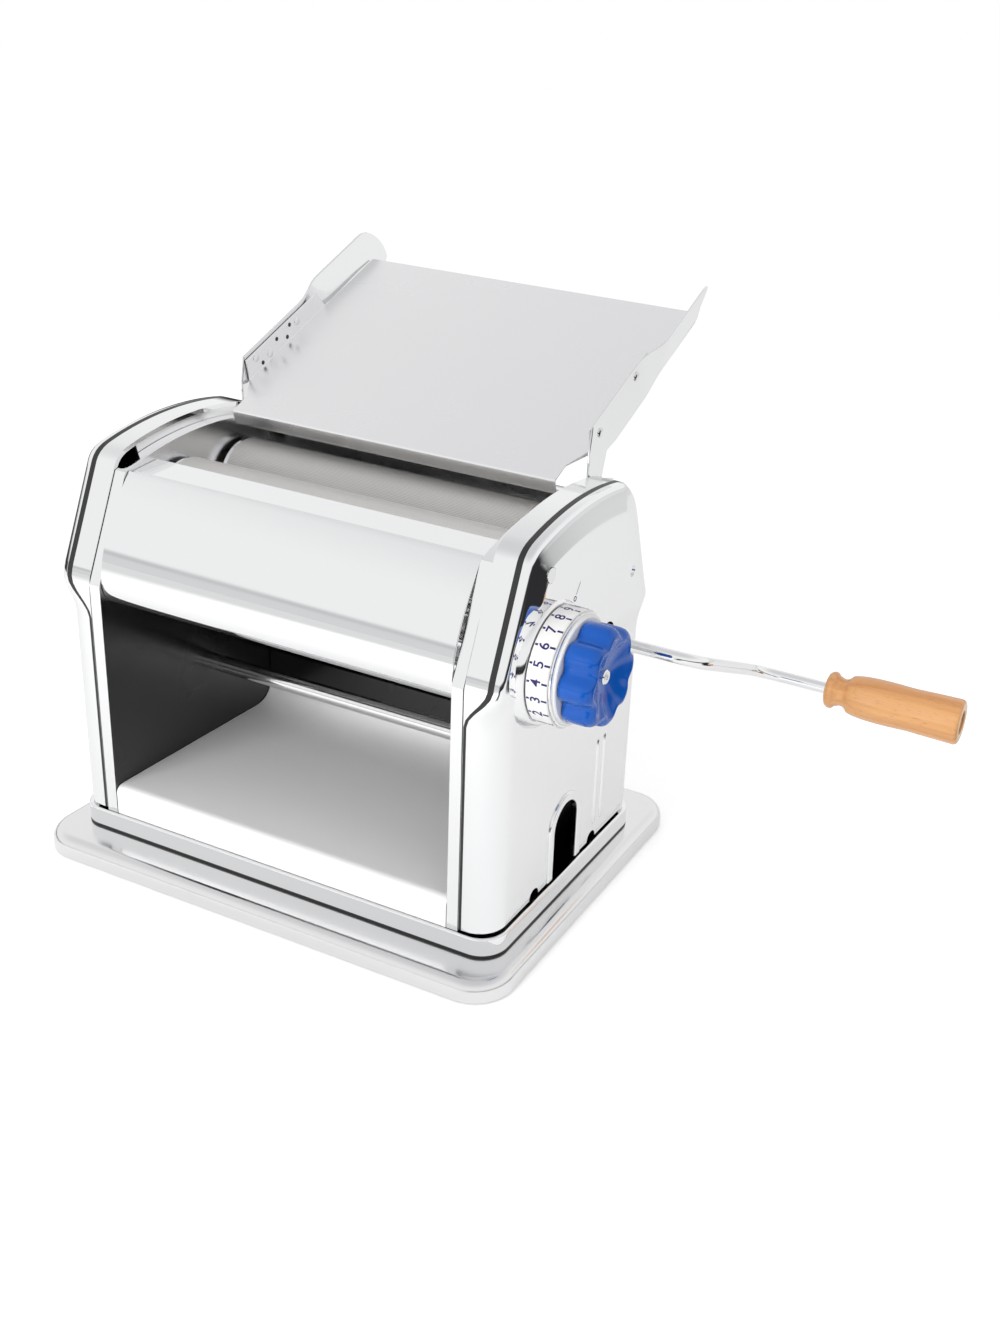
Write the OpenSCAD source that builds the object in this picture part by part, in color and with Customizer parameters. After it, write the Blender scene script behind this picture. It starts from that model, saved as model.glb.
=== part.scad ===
// Hand-cranked pasta sheeter. X runs along the rollers with the crank side at +X, the front
// faces -Y and Z is up. The origin is on the table under the middle of the base.

/* [Base] */
// Length of the base along the rollers
base_w = 303; // [296:1:320]
// Depth of the base, front to back
base_d = 225; // [216:1:240]
// Radius of the base's corners in plan
base_r = 23; // [16:1:30]
// Height of the base's top above the table
base_h = 13.5; // [12:0.5:18]
// Rounding of the base's upper edge
base_edge = 7; // [3:0.5:9]
// Height of the rubber feet below the base
foot_h = 1.5; // [1:0.5:4]
// Height of the plinth band on the base
plinth_h = 12; // [8:0.5:16]
// How far the plinth stands out past the side covers
plinth_lip = 2; // [1:0.25:4]

/* [Frame] */
// Clear width between the two frame plates
throat_w = 220; // [205:1:224]
// Thickness of each cast frame plate
frame_t = 7; // [5:0.5:9]
// Front face of the body, measured forward from the middle
body_front = 90; // [88:0.5:94]
// Back face of the body, measured back from the middle
body_back = 78; // [76:0.5:84]
// Height of the body's highest point above the table
body_top = 244; // [242:0.5:252]
// Radius of the long arch over the top of the body
crown_r = 216; // [190:2:260]
// How far the frame plates stay below the side covers
frame_drop = 7; // [5:0.5:9]

/* [Covers] */
// Width of a side cover at its foot
cover_w = 19.7; // [18:0.1:23]
// Extra width of a side cover round the rollers
cover_bulge = 4; // [2:0.25:6]
// Wall of the side covers
cover_wall = 2.5; // [1.5:0.25:3]
// Rounding of the side covers' upright corners
cover_r = 15; // [8:0.5:17]
// Sheet thickness of the front cover, the rear cover and the floor
sheet_t = 1.6; // [1:0.1:2]
// Height of the floor above the table
floor_z = 43.3; // [40:0.5:48]

/* [Rollers] */
// Diameter of both rollers
roller_d = 46; // [40:0.5:47]
// Widest gap between the rollers
gap_max = 4.6; // [4.2:0.1:5]
// Narrowest gap between the rollers
gap_min = 0.3; // [0.2:0.1:1]
// Height of the roller axes above the table
roller_z = 201; // [199:0.5:203]
// Diameter of the roller journals
journal_d = 16; // [12:0.5:18]
// Face width of the gears
gear_w = 7; // [5:0.5:8]
// Teeth on each of the two gears that couple the rollers
sync_teeth = 13; // [12:1:15]
// Teeth on the roller's driven gear
drive_teeth = 36; // [34:1:36]
// Teeth on the crank's pinion
pinion_teeth = 15; // [14:1:17]
// Module of the driven gear and the pinion
drive_module = 1.7; // [1.6:0.05:1.75]

/* [Thickness dial] */
// Diameter of the numbered dial ring
dial_d = 61.6; // [54:0.5:64]
// Width of the dial ring
dial_w = 12; // [9:0.5:15]
// Diameter over the knob's lobes
knob_d = 54; // [46:0.5:56]
// Depth of the knob along its axis
knob_w = 18; // [12:0.5:24]
// Lobes round the knob
knob_lobes = 8; // [6:1:10]
// Diameter of the adjuster shaft
adjuster_d = 10; // [8:0.5:12]
// Smallest radius of the adjuster cams
cam_r = 9; // [8:0.25:10]
// Turn of the knob between the widest and the narrowest gap
dial_turn = 155; // [120:5:160]

/* [Crank] */
// Diameter of the crank's bent rod
crank_rod_d = 7; // [6:0.5:9]
// Distance from the crank's axis to its grip
crank_reach = 115; // [90:1:130]
// Angle of the crank arm below the level, towards the back
crank_angle = 24; // [0:1:60]
// Distance of the crank arm from the middle of the machine
crank_arm_x = 195; // [190:1:205]
// Bend radius of the crank rod's middle line
crank_bend = 16; // [10:1:24]
// Length of the wooden grip
grip_len = 82; // [70:1:110]
// Diameter of the wooden grip
grip_d = 27; // [22:0.5:32]

/* [Tray] */
// Length of the dough tray up its slope
tray_len = 164; // [140:1:180]
// Slope of the dough tray
tray_slope = 25; // [20:1:32]
// Sheet thickness of the tray and its wings
tray_t = 1.2; // [0.8:0.1:1.6]
// Height of the wings above the tray
wing_h = 17; // [12:0.5:22]

/* [Hidden] */
$fn = 64;
// Clearances: between fixed pieces, between turning pieces and round running journals
seam = 0.3;
swing = 0.35;
run_fit = 0.06;

half = throat_w / 2;
frame_out = half + frame_t;
cover_in = frame_out + seam;
cover_out = cover_in + cover_w;
bulge_out = cover_out + cover_bulge;
plinth_out = cover_out + plinth_lip;
plinth_z = base_h + plinth_h;
cover_z = plinth_z + 2;
shoulder_z = 166;
step_z = 146;
crown_y = 6;
base_wall = 3;
mat_inset = 8;
plinth_wall = 3;

axis_dy = (roller_d + gap_max) / 2;
roller_len = throat_w - 6;
journal_r = journal_d / 2;
travel = gap_max - gap_min;
block_y = 26;
block_z = 24;
arm_t = 3.5;
gear_x = frame_out + arm_t + 1;
sync_module = (roller_d + gap_min) / sync_teeth;
sync_tip = axis_dy + 1.3;
sync_root = roller_d + gap_min - sync_tip - swing;
drive_dist = drive_module * (drive_teeth + pinion_teeth) / 2;
crank_y = 18;
crank_z = roller_z - sqrt(drive_dist * drive_dist - (axis_dy - crank_y) * (axis_dy - crank_y));
mesh_angle = atan2(crank_z - roller_z, crank_y - axis_dy);
spindle_r = 6;
hub_r = 8.5;
hub_end = bulge_out + 6;
dial_y = -45.6;
dial_z = 169.2;
dial_x = bulge_out + 1.8;
adjuster_r = adjuster_d / 2;
cam_rise = travel / dial_turn;
cam_in = frame_out + seam + 0.2;
bezel_w = 3;
knob_x = dial_x + dial_w + bezel_w;
crank_rod_r = crank_rod_d / 2;
grip_x = crank_arm_x + 45;
clamp_y = -12;
clamp_w = 27;
clamp_top = 70;
strip_back = -42;
strip_front = -62;
strip_z = 224;
tray_y = 17;
tray_z = 242;
wing_x = half + 4.5;
kink = 107;
scraper_y = 31;
scraper_z = 146;
tie_rods_at = [[-12, 93], [60, 112], [-62, 196]];
tie_r = 5;
cover_screw_at = [-50.3, 217.9];
screw_r = 1.5;

// ---- shared shapes ----

// A shape drawn in (y, z), pulled along X from x0 to x1.
module along_x(x0, x1) {
    translate([x0, 0, 0]) rotate([90, 0, 90]) linear_extrude(x1 - x0) children();
}

module rod_x(x0, x1, y, z, r) {
    translate([x0, y, z]) rotate([0, 90, 0]) cylinder(h = x1 - x0, r = r);
}

module both_sides() {
    children();
    mirror([1, 0, 0]) children();
}

// A rectangle with round corners, from x0 to x1 and y0 to y1.
module round_rect(x0, x1, y0, y1, r) {
    translate([x0 + r, y0]) square([x1 - x0 - 2 * r, y1 - y0]);
    translate([x0, y0 + r]) square([x1 - x0, y1 - y0 - 2 * r]);
    for (x = [x0 + r, x1 - r], y = [y0 + r, y1 - r]) translate([x, y]) circle(r);
}

// Points of a quadratic curve from a to c, pulled towards b.
function curve(a, b, c, n) = [for (i = [0:n]) let (t = i / n)
    (1 - t) * (1 - t) * a + 2 * t * (1 - t) * b + t * t * c];

// Two runs of points joined where the second starts on the first one's end.
function joined(p, q) = concat(p, [for (i = [1:len(q) - 1]) q[i]]);

// The side of line p, shifted by t to its left: the other face of a bent sheet.
function turned(v) = [-v[1], v[0]] / norm(v);
function shifted(p, t) = [for (i = [0:len(p) - 1])
    let (a = p[max(i - 1, 0)], b = p[i], c = p[min(i + 1, len(p) - 1)],
         n0 = turned(i == 0 ? c - b : b - a), n1 = turned(i == len(p) - 1 ? b - a : c - b),
         m = (n0 + n1) / norm(n0 + n1))
    b + m * t / (m * n0)];
function reversed(p) = [for (i = [len(p) - 1:-1:0]) p[i]];
module bent_sheet(p, t) {
    polygon(concat(p, reversed(shifted(p, t))));
}

// The body's outline from the side, drawn in by e.
module side_outline(e, z0) {
    intersection() {
        polygon([[-body_front + e, z0], [-body_front + e, shoulder_z],
            [-body_front + 30 + e, shoulder_z + 72], [0, body_top + 5],
            [34 - e, body_top + 1], [body_back - 26 - e, body_top - 12 - e * 0.5],
            [body_back - e, shoulder_z + 4], [body_back - e, z0]]);
        translate([crown_y, body_top - crown_r]) circle(crown_r - e, $fn = 160);
    }
}

// ---- gears ----

function inv(a) = tan(a) * 180 / PI - a;
// One flank of an involute tooth as [radius, angle from the tooth's middle].
function flank(m, z, root, tip, slack, n) =
    let (rp = m * z / 2, rb = rp * cos(20), half_a = (PI * m / 2 - slack) / 2 / rp * 180 / PI,
         r0 = max(root, rb))
    concat(root < rb ? [[root, half_a + inv(20)]] : [],
        [for (i = [0:n]) let (r = r0 + (tip - r0) * i / n, a = acos(min(1, rb / r)))
            [r, half_a + inv(20) - inv(a)]]);
module gear_outline(m, z, root, tip, slack) {
    f = flank(m, z, root, tip, slack, 4);
    polygon([for (k = [0:z - 1], s = [0:1], i = [0:len(f) - 1])
        let (q = s == 0 ? f[i] : f[len(f) - 1 - i], a = k * 360 / z + (s == 0 ? -q[1] : q[1]))
        q[0] * [cos(a), sin(a)]]);
}
module gear(x, y, z, m, teeth, root, tip, turn, bore) {
    difference() {
        translate([x, y, z]) rotate([turn, 0, 0]) along_x(0, gear_w)
            gear_outline(m, teeth, root, tip, 0.3);
        rod_x(x - 1, x + gear_w + 1, y, z, bore);
    }
}

// ---- base ----

// A slab's cross-section: w wide, with its two upper edges rounded.
module slab_section(w, h, e) {
    translate([-w / 2, 0]) square([w, h - e]);
    translate([-w / 2 + e, 0]) square([w - 2 * e, h]);
    intersection() {
        for (s = [-1, 1]) translate([s * (w / 2 - e), h - e]) circle(e);
        translate([-w / 2, h - e]) square([w, e]);
    }
}
module rounded_slab(w, d, r, h, e) {
    along_x(-w / 2 + r, w / 2 - r) slab_section(d, h, e);
    rotate([0, 0, 90]) along_x(-d / 2 + r, d / 2 - r) slab_section(w, h, e);
    for (k = [0:3]) let (sx = k == 0 || k == 3 ? 1 : -1, sy = k < 2 ? 1 : -1)
        translate([sx * (w / 2 - r), sy * (d / 2 - r), 0]) rotate([0, 0, 90 * k])
            rotate_extrude(angle = 90) intersection() {
                slab_section(2 * r, h, e);
                square([r, h]);
            }
}
module base_shell() {
    x = base_w / 2 - base_wall;
    y = base_d / 2 - base_wall;
    color("silver") difference() {
        translate([0, 0, foot_h]) rounded_slab(base_w, base_d, base_r, base_h - foot_h, base_edge);
        translate([0, 0, -1]) linear_extrude(base_h - base_wall + 1)
            round_rect(-x, x, -y, y, base_r - base_wall);
    }
}

module bottom_plate() {
    x = base_w / 2 - base_wall - seam;
    y = base_d / 2 - base_wall - seam;
    color("gray") translate([0, 0, foot_h]) linear_extrude(1.5)
        round_rect(-x, x, -y, y, base_r - base_wall - seam);
}

// One rubber sheet under the whole base keeps the machine from creeping while it is cranked.
module rubber_mat() {
    x = base_w / 2 - mat_inset;
    y = base_d / 2 - mat_inset;
    color("dimgray") linear_extrude(foot_h) round_rect(-x, x, -y, y, base_r - mat_inset);
}

module plinth_band() {
    w = plinth_wall;
    color("silver") translate([0, 0, base_h]) linear_extrude(plinth_h) difference() {
        round_rect(-plinth_out, plinth_out, -body_front - 1, body_back + 2, cover_r);
        round_rect(-plinth_out + w, plinth_out - w, -body_front - 1 + w, body_back + 2 - w,
            cover_r - w);
    }
}

module floor_tray() {
    x = half - seam;
    rise_y = 46;
    bend = 16;
    lip = [[-body_front, plinth_z + seam], [-body_front, floor_z - 6]];
    fold = curve([-body_front, floor_z - 6], [-body_front, floor_z], [-body_front + 6, floor_z], 6);
    chute = curve([rise_y - bend, floor_z], [rise_y, floor_z], [rise_y, floor_z + bend], 8);
    color("silver") along_x(-x, x)
        bent_sheet(concat(joined(lip, fold), chute, [[rise_y, floor_z + 34]]), -sheet_t);
}

// ---- frame ----

module frame_plate() {
    slack = travel + 2 * swing;
    color("silver") difference() {
        along_x(half, frame_out) difference() {
            intersection() {
                side_outline(0, base_h);
                translate([crown_y, body_top - crown_r]) circle(crown_r - frame_drop, $fn = 160);
            }
            translate([-body_front - 1, base_h - 1])
                square([plinth_wall + seam + 1, plinth_h + seam + 1]);
            translate([body_back - plinth_wall - seam, base_h - 1])
                square([plinth_wall + seam + 1, plinth_h + seam + 1]);
            translate([-axis_dy - block_y / 2 - swing, roller_z - block_z / 2 - run_fit])
                square([block_y + slack, block_z + 2 * run_fit]);
            translate([axis_dy, roller_z]) circle(journal_r + 4);
            translate([dial_y, dial_z]) circle(adjuster_r + run_fit);
            for (p = tie_rods_at) translate(p) circle(tie_r - 1 + run_fit);
            for (s = [-1, 1]) translate([s * scraper_y, scraper_z]) circle(3 + run_fit);
            translate(cover_screw_at) circle(screw_r + run_fit);
            translate([clamp_y - clamp_w / 2, plinth_z + 1])
                square([clamp_w, floor_z - plinth_z - sheet_t - 1.5]);
        }
    }
}
module frame_left() {
    mirror([1, 0, 0]) frame_plate();
}
module frame_right() {
    difference() {
        frame_plate();
        rod_x(half - 1, frame_out + 1, crank_y, crank_z, spindle_r + 3);
    }
}

// ---- covers ----

// The side cover's foot in plan, drawn in by t: square at the frame, rounded outside.
module cover_plan(x0, t) {
    intersection() {
        round_rect(x0 - 40, cover_out - t, -body_front + t, body_back - t, cover_r - t);
        translate([x0, -body_front - 1]) square([60, body_front + body_back + 2]);
    }
}
// The side cover's solid form, drawn in by t on every outer face.
module cover_form(t) {
    x0 = cover_in - (t > 0 ? 1 : 0);
    z0 = cover_z - (t > 0 ? 1 : 0);
    translate([0, 0, z0]) linear_extrude(step_z + 0.4 - z0) cover_plan(x0, t);
    hull() {
        translate([0, 0, step_z]) linear_extrude(0.4) cover_plan(x0, t);
        along_x(x0, cover_out - t) side_outline(t, shoulder_z);
        along_x(cover_out - t, bulge_out - 1 - t) side_outline(t + 2.5, shoulder_z + 4);
        along_x(bulge_out - 1 - t, bulge_out - t) side_outline(t + 8, shoulder_z + 12);
    }
}
module arch(w, top, z0) {
    translate([clamp_y - w / 2, z0]) square([w, top - w / 2 - z0]);
    translate([clamp_y, top - w / 2]) circle(w / 2);
}
module cover_shell() {
    rim = 6;
    difference() {
        union() {
            cover_form(0);
            along_x(cover_out - 1, cover_out + 1.2) arch(clamp_w + 2 * rim, clamp_top + rim, cover_z);
        }
        difference() {
            cover_form(cover_wall);
            rod_x(frame_out, bulge_out, cover_screw_at[0], cover_screw_at[1], screw_r + 1.6);
        }
        along_x(cover_in, cover_out + 5) arch(clamp_w, clamp_top, cover_z - 2);
        for (y = [-45, 23]) along_x(cover_in, cover_out + 5)
            translate([y, cover_z]) circle(5);
        for (y = [24, 32]) along_x(cover_out - 1, cover_out + 1)
            translate([y, 36]) square([4, 66]);
        rod_x(cover_in - 1, bulge_out + 1, cover_screw_at[0], cover_screw_at[1], screw_r + seam);
        rod_x(bulge_out - 1.4, bulge_out + 1, cover_screw_at[0], cover_screw_at[1], 4.3);
        rod_x(bulge_out - 1.2, bulge_out + 1, 46.4, 189, 3.2);
    }
}
module cover_left() {
    color("gainsboro") mirror([1, 0, 0]) cover_shell();
}
module cover_right() {
    color("gainsboro") difference() {
        union() {
            cover_shell();
            difference() {
                rod_x(cover_out - cover_wall, dial_x - swing, dial_y, dial_z, dial_d / 2 + 1.5);
                rod_x(cover_out - cover_wall - 1, dial_x - 2.5, dial_y, dial_z, dial_d / 2 - 2);
            }
        }
        rod_x(cover_in - 1, dial_x + 1, dial_y, dial_z, adjuster_r + 3);
        rod_x(cover_in - 1, bulge_out + 1, crank_y, crank_z, hub_r + 1.5);
    }
}

module front_cover() {
    face = joined(curve([strip_front - seam, strip_z], [-body_front + 7, strip_z - 26], [-87, 174], 12),
        curve([-87, 174], [-body_front + 1, 160], [-81, 156], 6));
    x = half - seam;
    color("silver") along_x(-x, x) bent_sheet(concat(face, [[-77, 160]]), sheet_t);
}

module top_strip() {
    x = half - seam;
    y = strip_front + sheet_t - seam;
    color("silver") along_x(-x, x)
        polygon([[y, strip_z], [strip_back, strip_z + 2.5], [strip_back, strip_z - 1],
            [y + 3, strip_z - 4], [y, strip_z - 4]]);
}

module rear_cover() {
    x = half - seam;
    b = body_back - 2;
    color("silver") along_x(-x, x)
        bent_sheet([[31, body_top - 12], [b - 28, body_top - 15], [b, shoulder_z + 4],
            [b, plinth_z + seam]], -sheet_t);
}

// ---- rods, bushes and scrapers ----

module tie_rods() {
    color("silver") for (p = tie_rods_at) {
        rod_x(-half, half, p[0], p[1], tie_r);
        rod_x(-frame_out - 6, frame_out + 6, p[0], p[1], tie_r - 1);
    }
}
module tie_rod_nuts() {
    color("silver") both_sides() for (p = tie_rods_at) difference() {
        translate([frame_out, p[0], p[1]]) rotate([0, 90, 0]) cylinder(h = 5, r = 8, $fn = 6);
        rod_x(frame_out - 1, frame_out + 7, p[0], p[1], tie_r - 1 + run_fit);
    }
}
module rear_bushes() {
    color("peru") both_sides() difference() {
        union() {
            rod_x(half - 1, frame_out, axis_dy, roller_z, journal_r + 4 - run_fit);
            rod_x(frame_out, frame_out + 2.5, axis_dy, roller_z, journal_r + 7);
        }
        rod_x(half - 2, frame_out + 4, axis_dy, roller_z, journal_r + run_fit);
    }
}
module crank_bush() {
    color("peru") difference() {
        union() {
            rod_x(half, frame_out, crank_y, crank_z, spindle_r + 3 - run_fit);
            rod_x(frame_out, frame_out + 2.5, crank_y, crank_z, spindle_r + 5);
        }
        rod_x(half - 1, frame_out + 4, crank_y, crank_z, spindle_r + run_fit);
    }
}
module scraper_blades() {
    x = half - 5;
    tip = roller_z - roller_d / 2 - 0.6;
    tip_y = axis_dy - travel;
    color("gainsboro") for (s = [-1, 1]) along_x(-x, x)
        polygon([[s * (tip_y - 1.5), tip], [s * tip_y, tip], [s * scraper_y, scraper_z + 4.1],
            [s * (scraper_y - 3), scraper_z + 4.1]]);
}
module scraper_rods() {
    color("silver") for (s = [-1, 1]) {
        rod_x(-half, half, s * scraper_y, scraper_z, 4);
        rod_x(-frame_out, frame_out, s * scraper_y, scraper_z, 3);
    }
}
module cover_screws() {
    y = cover_screw_at[0];
    z = cover_screw_at[1];
    color("silver") both_sides() {
        rod_x(half + 1, bulge_out - 1, y, z, screw_r);
        rod_x(bulge_out - 1.4, bulge_out + 0.2, y, z, 4);
    }
}

// ---- rollers ----

module bearing_block() {
    y = -axis_dy;
    arm_y = dial_y + cam_r + swing;
    color("peru") difference() {
        union() {
            along_x(half + 0.2, frame_out + 1)
                translate([y - block_y / 2, roller_z - block_z / 2]) square([block_y, block_z]);
            along_x(frame_out + 0.3, frame_out + 0.3 + arm_t) {
                translate([y - block_y / 2, roller_z - block_z / 2 - 1])
                    square([block_y, block_z + 3]);
                translate([arm_y, dial_z - 9]) square([9, roller_z - dial_z]);
            }
        }
        rod_x(half - 1, frame_out + arm_t + 2, y, roller_z, journal_r + run_fit);
    }
}
module bearing_block_left() {
    mirror([1, 0, 0]) bearing_block();
}
module bearing_block_right() {
    bearing_block();
}

module front_roller() {
    color("lightgray") {
        rod_x(-roller_len / 2, roller_len / 2, -axis_dy, roller_z, roller_d / 2);
        rod_x(-gear_x - gear_w - 1, frame_out + arm_t + 1.5, -axis_dy, roller_z, journal_r);
    }
}
module rear_roller() {
    color("lightgray") {
        rod_x(-roller_len / 2, roller_len / 2, axis_dy, roller_z, roller_d / 2);
        rod_x(-gear_x - gear_w - 1, gear_x + gear_w + 1, axis_dy, roller_z, journal_r);
    }
}
module sync_gear_front() {
    color("gray") gear(-gear_x - gear_w, -axis_dy, roller_z, sync_module, sync_teeth,
        sync_root, sync_tip, 0, journal_r + run_fit / 2);
}
module sync_gear_rear() {
    color("gray") gear(-gear_x - gear_w, axis_dy, roller_z, sync_module, sync_teeth,
        sync_root, sync_tip, 180 + 180 / sync_teeth, journal_r + run_fit / 2);
}
module drive_gear() {
    rp = drive_module * drive_teeth / 2;
    color("gray") gear(gear_x, axis_dy, roller_z, drive_module, drive_teeth,
        rp - 1.25 * drive_module, rp + drive_module, mesh_angle, journal_r + run_fit / 2);
}

// ---- crank ----

module crank_spindle() {
    color("silver") difference() {
        union() {
            rod_x(half - 2, gear_x + gear_w + 0.5, crank_y, crank_z, spindle_r);
            rod_x(gear_x + gear_w + 0.5, hub_end, crank_y, crank_z, hub_r);
        }
        rod_x(hub_end - 16, hub_end + 1, crank_y, crank_z, crank_rod_r + run_fit / 2);
    }
}
module crank_pinion() {
    rp = drive_module * pinion_teeth / 2;
    color("gray") gear(gear_x, crank_y, crank_z, drive_module, pinion_teeth,
        rp - 1.25 * drive_module, rp + drive_module, mesh_angle + 180 + 180 / pinion_teeth,
        spindle_r + run_fit / 2);
}
module crank_frame() {
    translate([0, crank_y, crank_z]) rotate([-crank_angle, 0, 0]) children();
}
module crank_rod() {
    b = crank_bend;
    x = crank_arm_x;
    r = crank_rod_r;
    color("silver") crank_frame() {
        rod_x(hub_end - 15.5, x - b, 0, 0, r);
        translate([x - b, b, 0]) rotate([0, 0, -90])
            rotate_extrude(angle = 90) translate([b, 0]) circle(r);
        translate([x, b, 0]) rotate([-90, 0, 0]) cylinder(h = crank_reach - 2 * b, r = r);
        translate([x + b, crank_reach - b, 0]) rotate([0, 0, 90])
            rotate_extrude(angle = 90) translate([b, 0]) circle(r);
        rod_x(x + b, grip_x + grip_len - 3, crank_reach, 0, r);
    }
}
module wood_grip() {
    r = grip_d / 2;
    bore = crank_rod_r + 0.08;
    outline = concat([[bore, 0], [r - 4, 0], [r - 2.5, 1.5], [r - 2.2, 4], [r - 3, 6.5]],
        curve([r - 4.5, 8], [r - 5.4, 10.5], [r - 3.4, 13], 4),
        curve([r - 2.4, 14.5], [r + 0.3, 22], [r - 0.6, 48], 6),
        curve([r - 0.7, 52], [r, 66], [r, grip_len - 2], 3),
        [[r - 2, grip_len], [7, grip_len], [7, grip_len - 5], [bore, grip_len - 5]]);
    color("burlywood") crank_frame() translate([grip_x, crank_reach, 0]) rotate([0, 90, 0])
        rotate_extrude() polygon(outline);
}
module grip_nut() {
    color("silver") crank_frame() difference() {
        rod_x(grip_x + grip_len - 4.8, grip_x + grip_len - 1, crank_reach, 0, 6);
        rod_x(grip_x + grip_len - 6, grip_x + grip_len - 2.9, crank_reach, 0, crank_rod_r + 0.05);
    }
}

// ---- thickness dial ----

module adjuster_shaft() {
    color("silver") rod_x(-frame_out - arm_t - 1, knob_x + 6, dial_y, dial_z, adjuster_r);
}
// The cam rises evenly over the knob's turn and falls back over the rest.
function cam_radius(a) =
    a <= dial_turn + 8 ? cam_r + cam_rise * max(0, a)
    : cam_r + cam_rise * (dial_turn + 8) * (352 - min(a, 352)) / (344 - dial_turn);
module adjuster_cams() {
    color("gray") both_sides() difference() {
        along_x(cam_in, cam_in + arm_t - 0.7) translate([dial_y, dial_z])
            polygon([for (a = [0:5:355]) cam_radius(a) * [cos(a), sin(a)]]);
        rod_x(cam_in - 1, cam_in + arm_t + 1, dial_y, dial_z, adjuster_r + run_fit / 2);
    }
}
module dial_ring() {
    r = dial_d / 2;
    color("white") difference() {
        rod_x(dial_x, dial_x + dial_w, dial_y, dial_z, r);
        difference() {
            rod_x(dial_x - 1, dial_x + dial_w - 3, dial_y, dial_z, r - 3);
            rod_x(dial_x - 2, dial_x + dial_w, dial_y, dial_z, adjuster_r + 3);
        }
        rod_x(dial_x - 1, dial_x + dial_w + 1, dial_y, dial_z, adjuster_r + run_fit / 2);
    }
}
module dial_bezel() {
    x = dial_x + dial_w;
    color("gainsboro") difference() {
        union() {
            rod_x(x, x + bezel_w / 2, dial_y, dial_z, dial_d / 2 - 1.5);
            rod_x(x + bezel_w / 2, x + bezel_w, dial_y, dial_z, knob_d / 2 + 0.8);
        }
        rod_x(x - 1, x + bezel_w + 1, dial_y, dial_z, adjuster_r + run_fit / 2);
    }
}
module dial_knob() {
    r = knob_d / 2;
    color("mediumblue") difference() {
        translate([knob_x, dial_y, dial_z]) along_x(0, knob_w) difference() {
            circle(r);
            for (k = [0:knob_lobes - 1]) rotate((k + 0.5) * 360 / knob_lobes)
                translate([r + 3.4, 0]) circle(6.5);
        }
        translate([knob_x + knob_w + 32, dial_y, dial_z]) sphere(38, $fn = 96);
        rod_x(knob_x - 1, knob_x + 6.2, dial_y, dial_z, adjuster_r + run_fit / 2);
        rod_x(knob_x, knob_x + knob_w, dial_y, dial_z, 2.6);
    }
}
module knob_screw() {
    seat = knob_x + knob_w - 5.6;
    color("dimgray") {
        rod_x(knob_x + 6.3, seat, dial_y, dial_z, 2.5);
        rod_x(seat, seat + 1.8, dial_y, dial_z, 4);
    }
}

// ---- dough tray ----

// Moves a piece drawn flat, with its lower bend along X, onto the tray's slope.
module on_slope() {
    translate([0, tray_y, tray_z]) rotate([tray_slope, 0, 0]) children();
}
module dough_tray() {
    w0 = half - 4;
    w1 = wing_x - seam;
    t = tray_t;
    lip = 8.2;
    color("lightgray") on_slope() {
        linear_extrude(t) polygon([[-w0, 0], [w0, 0], [w0, 12], [w1, 26], [w1, tray_len],
            [-w1, tray_len], [-w1, 26], [-w0, 12]]);
        along_x(-w0 + 1, w0 - 1)
            polygon([[0, t / 2], [t + 0.4, t / 2], [t - 3.4, -lip], [-3.8, -lip], [0, 0]]);
        both_sides() along_x(w1 - t, w1 - 0.05)
            polygon([[27, t / 2], [kink, t / 2], [kink + 3, 6], [kink - 1, 14], [30, 16], [27, 12]]);
    }
}
// A side plate: its foot stands on the frame's crown, and its upper half flares outwards.
module wing() {
    t = tray_t;
    skirt = 10;
    flare = 24;
    h = wing_h + skirt;
    difference() {
        union() {
            along_x(wing_x, wing_x + t) difference() {
                translate([tray_y, tray_z])
                    polygon([[18, -14], [34, -14], [51.4, 12.9], [40, 30], [20, 28.1], [18, 20]]);
                translate([crown_y, body_top - crown_r])
                    circle(crown_r - frame_drop + seam, $fn = 160);
            }
            on_slope() along_x(wing_x, wing_x + t) {
                translate([30, -skirt]) square([kink - 40, h]);
                translate([kink - 10, h / 2 - skirt]) circle(h / 2);
            }
            on_slope() translate([wing_x, 0, 0]) rotate([0, flare, 0]) along_x(0, t) {
                translate([kink - 8, -skirt]) square([tray_len - kink + 12, h]);
                translate([tray_len + 4, h / 2 - skirt]) circle(h / 2);
            }
        }
        rivet_places() rod_x(wing_x - 1, wing_x + t + 1, 0, 0, 1.6);
    }
}
module rivet_places() {
    on_slope() for (p = [[36, 7], [84, 10]]) translate([0, p[0], p[1]]) children();
}
module tray_wing_right() {
    color("gainsboro") wing();
}
module tray_wing_left() {
    color("gainsboro") mirror([1, 0, 0]) wing();
}
module tray_rivets() {
    x = wing_x + tray_t;
    color("silver") both_sides() rivet_places() {
        rod_x(x, x + 1, 0, 0, 2.8);
        rod_x(wing_x, x, 0, 0, 1.55);
    }
}

base_shell();
bottom_plate();
rubber_mat();
plinth_band();
floor_tray();
frame_left();
frame_right();
cover_left();
cover_right();
front_cover();
top_strip();
rear_cover();
tie_rods();
tie_rod_nuts();
rear_bushes();
crank_bush();
scraper_blades();
scraper_rods();
cover_screws();
bearing_block_left();
bearing_block_right();
front_roller();
sync_gear_front();
rear_roller();
sync_gear_rear();
drive_gear();
crank_spindle();
crank_pinion();
crank_rod();
wood_grip();
grip_nut();
adjuster_shaft();
adjuster_cams();
dial_ring();
dial_bezel();
dial_knob();
knob_screw();
dough_tray();
tray_wing_left();
tray_wing_right();
tray_rivets();
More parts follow.
